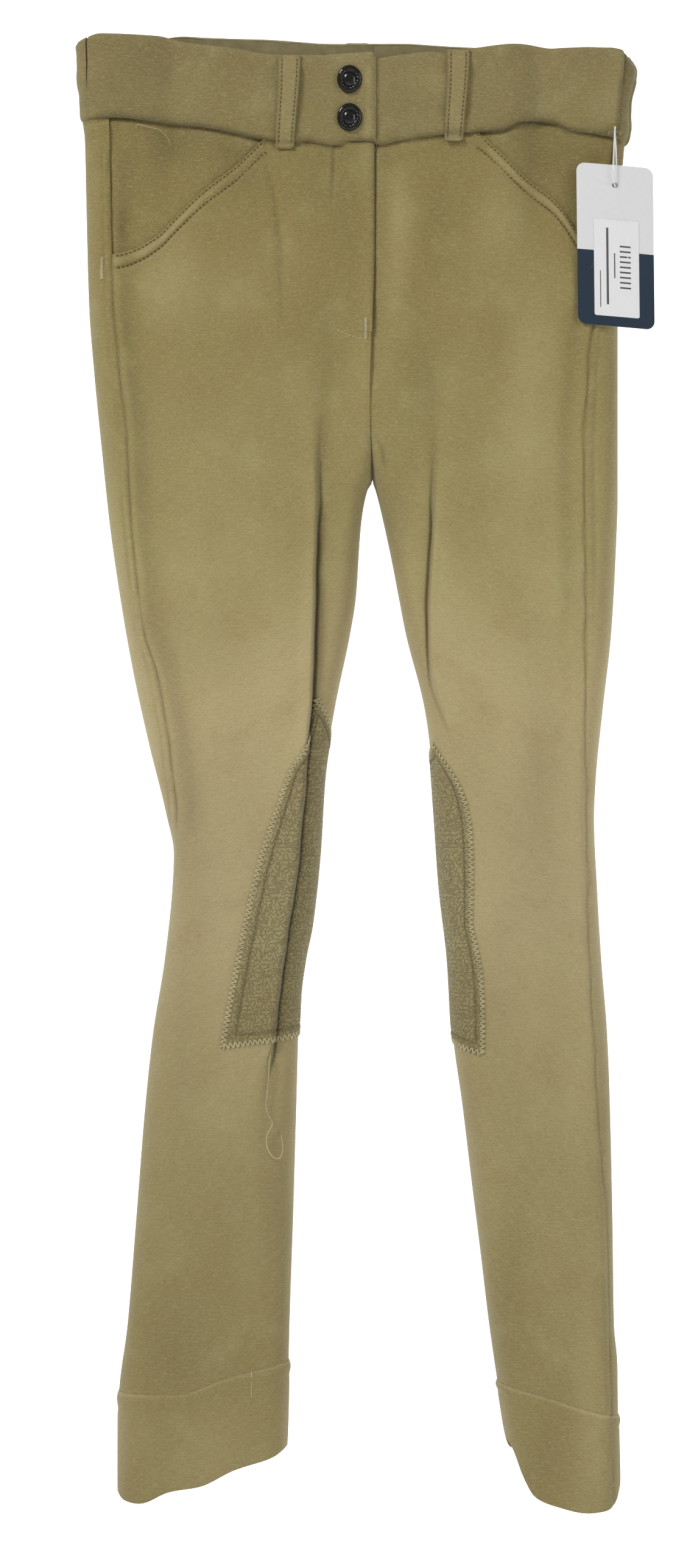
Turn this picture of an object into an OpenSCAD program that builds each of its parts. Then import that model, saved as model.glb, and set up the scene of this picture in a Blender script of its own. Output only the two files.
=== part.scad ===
// Children's riding breeches with a snap-and-zip fly, knee patches, cuffs and a blank hang tag.
// They hang as they do from a clip hanger. The origin is midway between the two places where the
// clips bite, +Z is up, the front faces -Y, and "right" and "left" are the wearer's (right is -X).

/* [Fabric] */
// Thickness of a panel of the knitted twill
fabric_t = 1.8; // [1.2:0.1:2]
// Thickness of the folded waistband
band_t = 2.4; // [2:0.1:2.4]
// Thickness of the folded cuffs
cuff_t = 2.4; // [1.8:0.1:3]
// Thickness of a knee patch
patch_t = 1; // [0.6:0.1:1]

/* [Hang] */
// How far the front panels stand forward of the hanging plane
front_depth = 12; // [11.8:0.1:12.2]
// How far the back panels stand behind the hanging plane
back_depth = 18; // [18:0.5:22]
// Height of the hip crease below the hanging point
hip_drop = 325; // [300:1:340]
// Height of the knee crease below the hanging point
knee_drop = 505; // [480:1:530]
// How far a thigh can swing back before its top edge meets the seat
hip_back_angle = 16; // [5:1:18]

/* [Belt loops] */
// Width of a belt loop
loop_w = 12; // [9:0.5:14]
// Thickness of a belt loop
loop_t = 1.6; // [1.2:0.1:2]
// Room for a belt between a loop and the waistband
belt_gap = 4.8; // [4.5:0.1:6]

/* [Fly] */
// Sideways place of the centre front seam
centre_x = 9; // [8:0.5:10]
// Bottom of the fly opening below the hanging point
fly_drop = 178; // [176:1:182]
// Diameter of a snap's cap
snap_d = 16; // [12:0.5:16]
// Clearance round a snap's stud in its socket
snap_gap = 0.5; // [0.4:0.1:0.6]

/* [Zip] */
// Length of the row of teeth
zip_len = 98; // [80:2:98]
// Spacing of the teeth
tooth_pitch = 2.8; // [2.4:0.2:3.6]
// Length of the pull from its pin to its tip
pull_len = 13; // [9:0.5:13]

/* [Hang tag] */
// Width of the card
tag_w = 46; // [40:1:50]
// Height of the card
tag_h = 94; // [80:1:96]
// Thickness of the card
tag_t = 0.6; // [0.4:0.1:0.8]

/* [Hidden] */

$fn = 48;
eps = 0.01;
seam_gap = 0.4;                 // clear line between two sewn panels
fold_gap = 0.6;                 // clear line on each side of a crease that bends
patch_gap = 0.02;               // between a knee patch and the inseam that it wraps
reach = 400;                    // longer than any part of the garment is wide

khaki = [0.60, 0.55, 0.38];
khaki_dark = [0.50, 0.45, 0.30];
patch_green = [0.53, 0.50, 0.34];
cotton = [0.82, 0.80, 0.72];
gunmetal = [0.25, 0.25, 0.27];
brass = [0.72, 0.60, 0.35];

hip_z = -hip_drop;
knee_z = -knee_drop;
fly_z = -fly_drop;
crotch_z = -267;
cuff_z_right = [[-144, -815], [-110, -816], [-78, -806], [-38, -796]];
cuff_z_left = [[80, -808], [110, -816], [134, -824], [162, -831]];
hem_right = [[-144, -876], [-118, -879], [-92, -873], [-38, -852]];
hem_left = [[86, -845], [101, -873], [139, -886], [160, -878]];

// Side and inseam edges of the two legs, each as [height, sideways place]
outer_right = [[0, -165], [-161, -161], [-271, -151.5], [-403, -131], [-490, -110.5],
    [-600, -123], [-754, -136.5], [-815, -143], [-900, -144]];
inner_right = [[crotch_z, centre_x], [-293, 2], [-403, -13.5], [-490, -23], [-600, -36],
    [-815, -41.5], [-900, -43.5]];
outer_left = [[0, 160], [-161, 157], [-271, 156.3], [-403, 147.5], [-490, 143.5],
    [-600, 150.4], [-815, 156.4], [-900, 157.8]];
inner_left = [[crotch_z, centre_x], [-293, 16], [-403, 40.6], [-490, 48.3], [-600, 57],
    [-815, 85.6], [-900, 96]];

// The waistband's edges, each as [sideways place, height]
band_end_right = -166;
band_end_left = 166;
band_top = [[-166, -1], [-120, 2], [-60, -9], [0, -11], [60, -8], [111, -4], [160, -8], [168, -14]];
band_seam = [[-166, -50], [-120, -51], [-60, -62], [-20, -65], [10, -62], [60, -59], [111, -52],
    [160, -60], [168, -64]];
band_back_top = [[-168, -1], [-100, 4], [0, 0], [100, -4], [160, -8], [168, -15]];
band_back_seam = [[-168, -50], [0, -52], [130, -54], [168, -60]];

// The waistband seen from above: it is pinched where the hanger's clips bite
grip_x = 111;
grip_w = 20;
pinch_in = grip_x - grip_w / 2;
pinch_out = grip_x + grip_w / 2;
front_plan = [[-170, -10], [-pinch_out - 5, -10], [-pinch_out, -5], [-pinch_in, -5],
    [-pinch_in + 12, -front_depth], [pinch_in - 12, -front_depth], [pinch_in, -5],
    [pinch_out, -5], [pinch_out + 5, -10], [170, -10]];
back_plan = [[-170, 9], [-pinch_out - 4, 9], [-pinch_out, 5.4], [-pinch_in, 5.4],
    [-pinch_in + 10, 12], [pinch_in - 10, 12], [pinch_in, 5.4], [pinch_out, 5.4],
    [pinch_out + 4, 9], [170, 9]];
facing_t = 0.8;
facing_gap = 0.2;
elastic_t = 1;

// The crease that the fly flap opens about, a line in the front surface
crease_top = [-24.5, -10];
crease_foot = [5.9, -178];
function crease_x(z) = crease_top[0]
    + (z - crease_top[1]) * (crease_foot[0] - crease_top[0]) / (crease_foot[1] - crease_top[1]);

// Pocket openings, from the waist seam to the side seam
pocket_right = [[-57, -63], [-93, -93], [-119, -119], [-134, -127], [-170, -132]];
pocket_left = [[73.6, -60], [100, -83.5], [124, -104.7], [136, -122], [170, -136]];
pocket_foot = -215;
bag_t = 0.8;
bag_room = 4.5;                 // between the bag's two layers

// Knee patches: their outer edges, as [height, sideways place]
patch_edge_right = [[-400, -25], [-442, -39.5], [-496, -58], [-573, -75], [-607, -81]];
patch_edge_left = [[-425, 47], [-449, 59.3], [-480, 67.3], [-532, 67.3], [-563, 73.6], [-607, 74.3]];

// Depths of the layers at the fly, from the front
panel_in = -front_depth + fabric_t;
band_in = -front_depth + band_t;
socket_h = 2;
stud_h = 1.8;
stud_r = 3;
shank_r = 1.6;
socket_gap = 0.4;
base_h = 0.8;
socket_in = band_in + socket_h;
stud_face = socket_in + socket_gap;
underlap_y = stud_face + base_h;
underlap_t = 2;
snap_x = -4.8;
snap_z = [-26, -49];

// The zip
zip_x = -2;
zip_y = 0.4;
zip_top = -68;
zip_foot = zip_top - zip_len;
row_gap = 1.4;                  // between the two rows of teeth, for the slider's neck
tooth = [1.9, 2, 1.5];
tape_t = 0.6;
tape_w = 10.4;
slider = [9, 5.2, 10];
slider_top = zip_top - 3;
plate_t = 1.2;
channel_y = slider[1] - 2 * plate_t;
pull_w = 5;
pull_t = 1;
pin_r = 0.7;
pin_clear = 0.08;
pin_y = zip_y - slider[1] / 2 - 1.1;
pin_z = slider_top - 4;

// The hang tag
tag_x = 154.4;
tag_y = -17;
bar_z = -58;
bar_r = 0.7;
loop_r = 3;
cord_r = 0.6;
tag_hole_z = -91;
tag_top_z = -77;
tag_hole_r = 2.4;

// A loose end of sewing thread that hangs from the right knee patch
thread_d = 0.6;
thread_route = [[-52, -12.5, -607], [-52, -12.6, -609], [-52.2, -15, -612], [-52.8, -18, -616],
    [-53.2, -18.8, -622], [-53.8, -18.8, -630], [-54.8, -18.8, -642], [-53.4, -18.8, -648],
    [-51, -19, -653], [-54.2, -19.2, -660], [-54.2, -19.2, -667], [-50.6, -19.4, -673],
    [-46.6, -19.2, -673.6], [-44.8, -18.8, -668], [-45.8, -18.6, -660]];
thread_steps = 5;               // rings for each stretch between two points
thread_sides = 8;

// Points of an edge table that lie between two keys, ends worked out
function between(table, a, b) = let (lo = min(a, b), hi = max(a, b), inside =
    [for (p = table) if (p[0] > lo && p[0] < hi) p[0]])
    a < b ? concat([lo], sorted(inside), [hi]) : concat([hi], [for (k = flip(sorted(inside))) k], [lo]);
function flip(v) = [for (i = [len(v) - 1:-1:0]) v[i]];
function sorted(v) = len(v) < 2 || v[0] < v[1] ? v : flip(v);

// Outline between two side edges, from z_top down to z_low; inset pulls both edges in
function leg_outline(out_edge, in_edge, z_top, z_low, inset = 0) =
    let (s = lookup(z_top - 50, out_edge) < lookup(z_top - 50, in_edge) ? 1 : -1) concat(
    [for (z = between(out_edge, z_top, z_low)) [lookup(z, out_edge) + s * inset, z]],
    [for (z = between(in_edge, z_low, z_top)) [lookup(z, in_edge) - s * inset, z]]);

// Outline of a strip between an upper and a lower edge table
function strip(upper, lower, x0, x1, lift = 0) = concat(
    [for (x = between(upper, x0, x1)) [x, lookup(x, upper)]],
    [for (x = between(lower, x1, x0)) [x, lookup(x, lower) + lift]]);

// An outline in X and Z, given thickness from y0 to y1
module slab(outline, y0, y1) {
    translate([0, y1, 0]) rotate([90, 0, 0]) linear_extrude(y1 - y0) polygon(outline);
}

// An outline in Y and Z, given length from x0 to x1
module side_prism(outline, x0, x1) {
    translate([x0, 0, 0]) rotate([90, 0, 90]) linear_extrude(x1 - x0) polygon(outline);
}

// A disc whose axis runs along Y, from y0 to y1
module disc(r, y0, y1) {
    translate([0, y1, 0]) rotate([90, 0, 0]) cylinder(r = r, h = y1 - y0);
}

// One layer of the waistband that follows a plan line, from off0 to off1 behind it
module band_layer(plan, x0, x1, off0, off1, upper, lower) {
    keys = between(plan, x0, x1);
    layer = concat([for (x = keys) [x, lookup(x, plan) + off0]],
        [for (x = flip(keys)) [x, lookup(x, plan) + off1]]);
    intersection() {
        translate([0, 0, -100]) linear_extrude(150) polygon(layer);
        slab(strip(upper, lower, x0, x1), -reach / 2, reach / 2);
    }
}

// Holes for the snaps' shanks
module shank_holes(y0, y1) {
    for (z = snap_z) translate([snap_x, 0, z]) disc(shank_r + 0.1, y0, y1);
}

module waistband_front_right() {
    color(khaki) difference() {
        band_layer(front_plan, band_end_right + 3, -8, 0, band_t, band_top, band_seam);
        slab([[crease_x(20) - fold_gap / 2, 20], [20, 20], [20, -90], [crease_x(-90) - fold_gap / 2, -90]],
            -30, 0);
    }
}

module waistband_front_left() {
    color(khaki) band_layer(front_plan, centre_x + 1.4, band_end_left - 8, 0, band_t, band_top, band_seam);
}

// The flap's share of the waistband, which carries the snap caps
module waistband_overlap() {
    color(khaki) difference() {
        intersection() {
            band_layer(front_plan, -40, centre_x + 1, 0, band_t, band_top, band_seam);
            slab([[crease_x(20) + fold_gap / 2, 20], [20, 20], [20, -90], [crease_x(-90) + fold_gap / 2, -90]],
                -30, 0);
        }
        shank_holes(-20, 0);
    }
}

// The other side's extension under the flap, which carries the studs
module waistband_underlap() {
    color(khaki) difference() {
        union() {
            slab(strip(band_top, band_seam, -19, centre_x + 9), underlap_y, underlap_y + underlap_t);
            slab(strip(band_top, band_seam, centre_x + 6, centre_x + 9), band_in, underlap_y + eps);
        }
        shank_holes(underlap_y - 1, underlap_y + underlap_t + 1);
    }
}

module waistband_back() {
    color(khaki) {
        band_layer(back_plan, -168, 168, -band_t, 0, band_back_top, band_back_seam);
        for (x = [[-168, -168 + band_t], [168 - band_t, 168]])
            slab(strip(band_back_top, band_back_seam, x[0], x[1]), -7, 9 - band_t + eps);
    }
}

module waistband_elastic() {
    color(cotton) band_layer(back_plan, -150, 150, -band_t - 0.1 - elastic_t, -band_t - 0.1,
        [[-150, -6], [150, -14]], [[-150, -44], [150, -48]]);
}

module waistband_facing(x0, x1) {
    color(khaki_dark) band_layer(front_plan, x0, x1, band_t + facing_gap,
        band_t + facing_gap + facing_t, band_top, band_seam);
}

module waistband_facing_right() {
    waistband_facing(band_end_right + 5, -30);
}

module waistband_facing_left() {
    waistband_facing(22, band_end_left - 10);
}

module waistband_facing_back() {
    outer = -band_t - elastic_t - facing_gap;
    color(khaki_dark) band_layer(back_plan, -160, 160, outer - facing_t, outer,
        band_back_top, band_back_seam);
}

// A blank woven label inside the centre back
module size_label() {
    inside = 12 - band_t - elastic_t - facing_gap - facing_t;
    color("white") translate([-16, inside - 0.5, -40]) cube([32, 0.5, 24]);
}

// A belt loop on the front (side -1) or the back (side 1), joined to the band at both ends
module belt_loop(x, top, foot, side) {
    face = side < 0 ? -front_depth : 12;
    turn = 4;
    span = belt_gap + loop_t;
    color(khaki) translate([x - loop_w / 2, 0, 0]) difference() {
        translate([0, side < 0 ? face - span : face, foot]) cube([loop_w, span, top - foot]);
        translate([-1, side < 0 ? face - belt_gap : face - 1, foot + turn])
            cube([loop_w + 2, belt_gap + 1, top - foot - 2 * turn]);
    }
}

module belt_loop_front_right() { belt_loop(-41.5, -12, -65, -1); }
module belt_loop_front_left() { belt_loop(60, -9, -61, -1); }
module belt_loop_back_right() { belt_loop(-72, 1, -51, 1); }
module belt_loop_back_centre() { belt_loop(0, 0, -52, 1); }
module belt_loop_back_left() { belt_loop(72, -3, -53, 1); }

module front_panel_right() {
    mouth = flip([for (p = pocket_right) if (p[0] > -160) p]);
    color(khaki) slab(concat(
        [[crease_x(-64.2) - fold_gap / 2, -65.2 - seam_gap], [crease_x(fly_z) - fold_gap / 2, fly_z]],
        [[crease_x(fly_z) - fold_gap / 2, fly_z - fold_gap], [centre_x - seam_gap / 2, fly_z - fold_gap]],
        [for (z = between(inner_right, crotch_z, hip_z)) [lookup(z, inner_right) - seam_gap / 2, z]],
        [for (z = between(outer_right, hip_z, -131.6)) [lookup(z, outer_right), z]],
        mouth, [[-57, lookup(-57, band_seam) - seam_gap], [-20, -65 - seam_gap]]), -front_depth, panel_in);
}

module front_panel_left() {
    mouth = [for (p = pocket_left) if (p[0] < 150) p];
    color(khaki) slab(concat(
        [[centre_x + seam_gap / 2, -62.1 - seam_gap], [60, -59 - seam_gap]],
        mouth, [for (z = between(outer_left, -131.2, hip_z)) [lookup(z, outer_left), z]],
        [for (z = between(inner_left, hip_z, crotch_z)) [lookup(z, inner_left) + seam_gap / 2, z]]),
        -front_depth, panel_in);
}

// The flap's triangle of front panel, from the crease to its free edge
module fly_placket() {
    color(khaki) slab([[crease_x(-65.4) + fold_gap / 2, -65.4], [-20, -65.4],
        [centre_x - seam_gap / 2, -62.6], [centre_x - seam_gap / 2, fly_z],
        [crease_x(fly_z) + fold_gap / 2, fly_z]], -front_depth, panel_in);
}

// A leg tube's back half: the back layer and the two side walls that meet the front panel
module channel(out_edge, in_edge, z_top, z_low) {
    difference() {
        slab(leg_outline(out_edge, in_edge, z_top, z_low), panel_in, back_depth);
        slab(leg_outline(out_edge, in_edge, z_top + 1, z_low - 1, fabric_t),
            panel_in - 1, back_depth - fabric_t);
    }
}

// Back of the seat: leans in to the waistband at the top, with the side and inseam walls
module back_panel(side) {
    out_edge = side < 0 ? outer_right : outer_left;
    in_edge = side < 0 ? inner_right : inner_left;
    top_z = side < 0 ? -53.5 : -61;
    mid = centre_x + side * seam_gap / 2;
    rim = side < 0 ? fabric_t : -fabric_t;
    outer_out = [for (z = between(out_edge, top_z, hip_z)) [lookup(z, out_edge), z]];
    outer_in = [for (z = between(out_edge, top_z + 5, hip_z - 1)) [lookup(z, out_edge) + rim, z]];
    legs_out = [for (z = between(in_edge, hip_z, crotch_z)) [lookup(z, in_edge) + side * seam_gap / 2, z]];
    legs_in = [for (z = between(in_edge, hip_z - 1, crotch_z - 8))
        [lookup(z, in_edge) + side * seam_gap / 2 - rim, z]];
    lean = [[panel_in, 10], [9, 10], [9, -54], [back_depth, -112], [back_depth, hip_z - 2], [panel_in, hip_z - 2]];
    lean_in = [[panel_in - 1, 11], [9 - fabric_t, 11], [9 - fabric_t, -54], [back_depth - fabric_t, -112],
        [back_depth - fabric_t, hip_z - 3], [panel_in - 1, hip_z - 3]];
    color(khaki) difference() {
        intersection() {
            slab(concat(outer_out, legs_out, [[mid, top_z]]), panel_in, back_depth);
            side_prism(lean, -reach / 2, reach / 2);
        }
        intersection() {
            slab(concat(outer_in, legs_in, [[mid - side * 2, crotch_z], [mid - side * 2, top_z + 5]]),
                panel_in - 1, back_depth);
            side_prism(lean_in, -reach / 2, reach / 2);
        }
    }
}

module back_panel_right() { back_panel(-1); }
module back_panel_left() { back_panel(1); }

// Where the pockets' layers lie
bag_front = panel_in + 0.1;
bag_back = bag_front + bag_t + bag_room;

// The hip corner that shows in the pocket's mouth, level with the bag's back layer
module pocket_facing_right() {
    color(khaki) slab(concat([[-120, -51.4], [-159.5, -50.6], [-159.5, -131]],
        flip([for (p = pocket_right) if (p[0] > -158) p])), bag_back, bag_back + bag_t);
}

module pocket_facing_left() {
    color(khaki) slab(concat([[111, -52.4], [154, -59.5], [154, -131]],
        flip([for (p = pocket_left) if (p[0] < 150) p])), bag_back, bag_back + bag_t);
}

// A pocket bag: two layers closed at the sides and foot, open along the mouth
module pocket_bag(mouth, side) {
    start = mouth[0];
    end = mouth[3];
    wall = 1;
    body = concat(mouth_part(mouth), [[end[0], pocket_foot + 10], [end[0] - side * 10, pocket_foot],
        [start[0] + side * 10, pocket_foot], [start[0], pocket_foot + 10]]);
    room = concat([[start[0] + side * wall, start[1] + 20], [end[0] - side * wall, start[1] + 20]],
        [[end[0] - side * wall, pocket_foot + 10], [end[0] - side * 10, pocket_foot + wall],
        [start[0] + side * 10, pocket_foot + wall], [start[0] + side * wall, pocket_foot + 10]]);
    color(cotton) difference() {
        slab(body, bag_front, bag_back + bag_t);
        slab(room, bag_front + bag_t, bag_back);
    }
}
function mouth_part(mouth) = [for (i = [0:3]) [mouth[i][0], mouth[i][1] - 1]];

module pocket_bag_right() { pocket_bag(pocket_right, -1); }
module pocket_bag_left() { pocket_bag(pocket_left, 1); }

// The layer behind the zip
module fly_shield() {
    y = zip_y + slider[1] / 2 + 0.5;
    color(khaki_dark) slab([[-17, -66], [18, -66], [18, fly_z + 6], [10, fly_z], [-9, fly_z], [-17, fly_z + 8]],
        y, y + 1.2);
}

// Tape of one side, edge to edge with its teeth
module zip_tape(side) {
    near = zip_x + side * (row_gap / 2 + tooth[0]);
    color(khaki_dark) translate([side < 0 ? near - tape_w : near, zip_y - tape_t / 2, zip_foot - 5])
        cube([tape_w, tape_t, zip_len + 5]);
}

module zip_tape_right() { zip_tape(-1); }
module zip_tape_left() { zip_tape(1); }

// One row of teeth, half a pitch out of step with the other row
module zip_teeth(side) {
    near = zip_x + side * row_gap / 2;
    step = side < 0 ? 0 : tooth_pitch / 2;
    color(brass) for (i = [0:floor((zip_len - 8) / tooth_pitch)])
        translate([side < 0 ? near - tooth[0] : near, zip_y - tooth[1] / 2,
            zip_foot + 3 + step + i * tooth_pitch]) cube(tooth);
}

module zip_teeth_right() { zip_teeth(-1); }
module zip_teeth_left() { zip_teeth(1); }

module zip_top_stops() {
    color(brass) for (side = [-1, 1])
        translate([zip_x + side * (row_gap / 2 + tooth[0] / 2) - tooth[0] / 2, zip_y - 1.2, zip_top - 2])
            cube([tooth[0], 2.4, 2]);
}

module zip_bottom_stop() {
    color(brass) translate([zip_x - 2.6, zip_y - 1.2, zip_foot]) cube([5.2, 2.4, 2.5]);
}

// Two plates round the teeth, joined by a neck that runs between the rows, with the pull's lug in front
module zip_slider() {
    lip = 0.8;
    slot = 1;
    low = slider_top - slider[2];
    y0 = zip_y - slider[1] / 2;
    color(brass) difference() {
        union() {
            difference() {
                translate([zip_x - slider[0] / 2, y0, low]) cube(slider);
                translate([zip_x - slider[0] / 2 + lip, y0 + plate_t, low - 1])
                    cube([slider[0] - 2 * lip, channel_y, slider[2] + 2]);
                translate([zip_x - slider[0] / 2 - 1, zip_y - slot / 2, low - 1])
                    cube([slider[0] + 2, slot, slider[2] + 2]);
            }
            translate([zip_x - 0.5, y0, slider_top - 3]) cube([1, slider[1], 3]);
            translate([zip_x - 1.5, y0 - 2.1, pin_z - 2]) cube([3, 2.1 + eps, 4]);
        }
        translate([zip_x - 3, pin_y, pin_z]) rotate([0, 90, 0]) cylinder(r = pin_r + pin_clear, h = 6);
    }
}

// The pull: a pin through the slider's lug, two arms and a plate with a slot
module zip_pull() {
    arm = 0.9;
    color(brass) union() {
        translate([zip_x - pull_w / 2, pin_y, pin_z]) rotate([0, 90, 0]) cylinder(r = pin_r, h = pull_w);
        for (x = [-pull_w / 2, pull_w / 2 - arm])
            translate([zip_x + x, pin_y - pull_t / 2, pin_z - 4]) cube([arm, pull_t, 4]);
        difference() {
            translate([zip_x - pull_w / 2, pin_y - pull_t / 2, pin_z - pull_len])
                cube([pull_w, pull_t, pull_len - 3.2]);
            translate([zip_x, 0, pin_z - pull_len + 3]) disc(1, pin_y - 2, pin_y + 2);
        }
    }
}

// Caps with a raised ring, and a shank through the waistband to the socket
module snap_caps() {
    r = snap_d / 2;
    y = -front_depth;
    color(gunmetal) for (z = snap_z) translate([snap_x, 0, z]) union() {
        difference() {
            union() {
                disc(r, y - 1.4, y);
                disc(r * 0.9, y - 2.2, y - 1.4 + eps);
            }
            disc(r * 0.46, y - 3, y - 1.2);
        }
        disc(shank_r, y - 0.5, band_in - 0.2);
    }
}

module snap_sockets() {
    color(gunmetal) for (z = snap_z) translate([snap_x, 0, z]) difference() {
        disc(6.2, band_in, socket_in);
        disc(stud_r + snap_gap, band_in + 0.2, socket_in + 1);
    }
}

module snap_studs() {
    color(gunmetal) for (z = snap_z) translate([snap_x, 0, z]) union() {
        disc(6, stud_face, underlap_y);
        disc(stud_r, stud_face - stud_h + 0.4, stud_face + eps);
        disc(shank_r, underlap_y - eps, underlap_y + underlap_t - 0.1);
    }
}

module snap_posts() {
    back = underlap_y + underlap_t;
    color(gunmetal) for (z = snap_z) translate([snap_x, 0, z]) difference() {
        disc(5.5, back, back + base_h);
        disc(1, back - 1, back + 0.5);
    }
}

// A leg tube's pieces: the top of a thigh is cut back so that it can swing behind the hip crease
module hip_cut(x0, x1) {
    drop = (front_depth + back_depth + 2) * tan(hip_back_angle);
    side_prism([[-front_depth - 2, hip_z - fold_gap], [back_depth + 2, hip_z - fold_gap - drop],
        [back_depth + 2, knee_z - 100], [-front_depth - 2, knee_z - 100]], x0, x1);
}

module thigh_front(out_edge, in_edge) {
    color(khaki) intersection() {
        slab(leg_outline(out_edge, in_edge, hip_z, knee_z + fold_gap), -front_depth, panel_in);
        hip_cut(-reach / 2, reach / 2);
    }
}

module thigh_back(out_edge, in_edge) {
    color(khaki) intersection() {
        channel(out_edge, in_edge, hip_z, knee_z + fold_gap);
        hip_cut(-reach / 2, reach / 2);
    }
}

module thigh_front_right() { thigh_front(outer_right, inner_right); }
module thigh_back_right() { thigh_back(outer_right, inner_right); }
module thigh_front_left() { thigh_front(outer_left, inner_left); }
module thigh_back_left() { thigh_back(outer_left, inner_left); }

// A shin outline ends at the cuff seam
function shin_outline(out_edge, in_edge, seam, inset, up, down) =
    let (s = seam[0][0] < 0 ? 1 : -1, z0 = knee_z - fold_gap + up,
    far = s > 0 ? seam[0] : seam[3], near = s > 0 ? seam[3] : seam[0],
    ends = s > 0 ? [for (p = seam) if (p[0] > -140 && p[0] < -45) p]
        : flip([for (p = seam) if (p[0] > 90 && p[0] < 150) p]))
    concat([for (z = between(out_edge, z0, far[1] - down)) [lookup(z, out_edge) + s * inset, z]],
        [for (p = ends) [p[0], p[1] - down]],
        [for (z = between(in_edge, near[1] - down, z0)) [lookup(z, in_edge) - s * inset, z]]);

module shin_front(out_edge, in_edge, seam) {
    color(khaki) slab(shin_outline(out_edge, in_edge, seam, 0, 0, 0), -front_depth, panel_in);
}

module shin_back(out_edge, in_edge, seam) {
    color(khaki) difference() {
        slab(shin_outline(out_edge, in_edge, seam, 0, 0, 0), panel_in, back_depth);
        slab(shin_outline(out_edge, in_edge, seam, fabric_t, 1, 5), panel_in - 1, back_depth - fabric_t);
    }
}

module shin_front_right() { shin_front(outer_right, inner_right, cuff_z_right); }
module shin_back_right() { shin_back(outer_right, inner_right, cuff_z_right); }
module shin_front_left() { shin_front(outer_left, inner_left, cuff_z_left); }
module shin_back_left() { shin_back(outer_left, inner_left, cuff_z_left); }

// A cuff: a turned-up ring of double cloth, from the cuff seam to the hem
module cuff(out_edge, in_edge, seam, hem) {
    s = seam[0][0] < 0 ? 1 : -1;
    upper = s > 0 ? seam : flip(seam);
    lower = s > 0 ? flip(hem) : hem;
    far = upper[0];
    near = upper[3];
    outline = concat([[lookup(far[1], out_edge), far[1] - seam_gap]],
        [for (i = [1, 2]) [upper[i][0], upper[i][1] - seam_gap]],
        [[lookup(near[1], in_edge), near[1] - seam_gap]],
        [for (i = [0:3]) [i == 0 ? lookup(lower[0][1], in_edge) : i == 3 ? lookup(lower[3][1], out_edge)
            : lower[i][0], lower[i][1]]]);
    hole = [[lookup(-790, out_edge) + s * cuff_t, -790], [lookup(-790, in_edge) - s * cuff_t, -790],
        [lookup(-895, in_edge) - s * cuff_t, -895], [lookup(-895, out_edge) + s * cuff_t, -895]];
    color(khaki) difference() {
        slab(outline, -front_depth, back_depth);
        slab(hole, -front_depth + cuff_t, back_depth - cuff_t);
    }
}

module cuff_right() { cuff(outer_right, inner_right, cuff_z_right, hem_right); }
module cuff_left() { cuff(outer_left, inner_left, cuff_z_left, hem_left); }

// A knee patch wraps the inseam: a front layer, an inner edge and a back layer
module knee_patch(in_edge, edge, z_top, z_low, side) {
    grown = concat([for (z = between(edge, z_top, z_low)) [lookup(z, edge), z]],
        [for (z = between(in_edge, z_low, z_top)) [lookup(z, in_edge) - side * patch_t, z]]);
    held = concat([for (z = between(edge, z_top + 1, z_low - 1)) [lookup(z, edge) + side * 60, z]],
        [for (z = between(in_edge, z_low - 1, z_top + 1)) [lookup(z, in_edge) - side * patch_gap, z]]);
    color(patch_green) difference() {
        slab(grown, -front_depth - patch_t, back_depth + patch_t);
        slab(held, -front_depth, back_depth);
    }
}

module knee_patch_upper_right() {
    knee_patch(inner_right, patch_edge_right, patch_edge_right[0][0], knee_z + fold_gap, -1);
}
module knee_patch_upper_left() {
    knee_patch(inner_left, patch_edge_left, patch_edge_left[0][0], knee_z + fold_gap, 1);
}
module knee_patch_lower_right() {
    knee_patch(inner_right, patch_edge_right, knee_z - fold_gap, -607, -1);
}
module knee_patch_lower_left() {
    knee_patch(inner_left, patch_edge_left, knee_z - fold_gap, -607, 1);
}

// A small thread bar on the waistband that the tag's loop hangs on
module tag_anchor() {
    leg_w = 1.4;
    half = 4;
    color(cotton) union() {
        translate([tag_x - half, tag_y, bar_z]) rotate([0, 90, 0]) cylinder(r = bar_r, h = 2 * half);
        for (x = [-half, half - leg_w])
            translate([tag_x + x, tag_y, bar_z - bar_r]) cube([leg_w, -10 - tag_y, 2 * bar_r]);
    }
}

// A closed plastic loop round the bar and through the card's hole
module tag_loop() {
    foot = tag_hole_z + loop_r;
    color([0.85, 0.85, 0.85]) translate([tag_x, tag_y, 0]) union() {
        for (end = [[bar_z, 1], [foot, -1]]) translate([0, 0, end[0]]) rotate([0, 90, 0]) rotate([0, 0, 90])
            intersection() {
                rotate_extrude() translate([loop_r, 0]) circle(r = cord_r, $fn = 24);
                translate([-10, end[1] > 0 ? 0 : -10, -5]) cube([20, 10, 10]);
            }
        for (y = [-loop_r, loop_r]) translate([0, y, foot]) cylinder(r = cord_r, h = bar_z - foot, $fn = 24);
    }
}

// The card's outline, with rounded corners
module tag_outline(w, h, r) {
    union() {
        square([w - 2 * r, h], center = true);
        square([w, h - 2 * r], center = true);
        for (x = [-1, 1], y = [-1, 1]) translate([x * (w / 2 - r), y * (h / 2 - r)]) circle(r = r);
    }
}

module tag_card() {
    color("white") difference() {
        translate([tag_x, tag_y + tag_t / 2, tag_top_z - tag_h / 2]) rotate([90, 0, 0])
            linear_extrude(tag_t) tag_outline(tag_w, tag_h, 4);
        translate([tag_x, 0, tag_hole_z]) disc(tag_hole_r, tag_y - 2, tag_y + 2);
    }
}

// A blank sticker on the card's lower half
module tag_sticker() {
    color([0.95, 0.95, 0.95]) translate([tag_x - 13, tag_y - tag_t / 2 - 0.2, tag_top_z - tag_h + 5])
        cube([27, 0.2, 58]);
}

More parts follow.
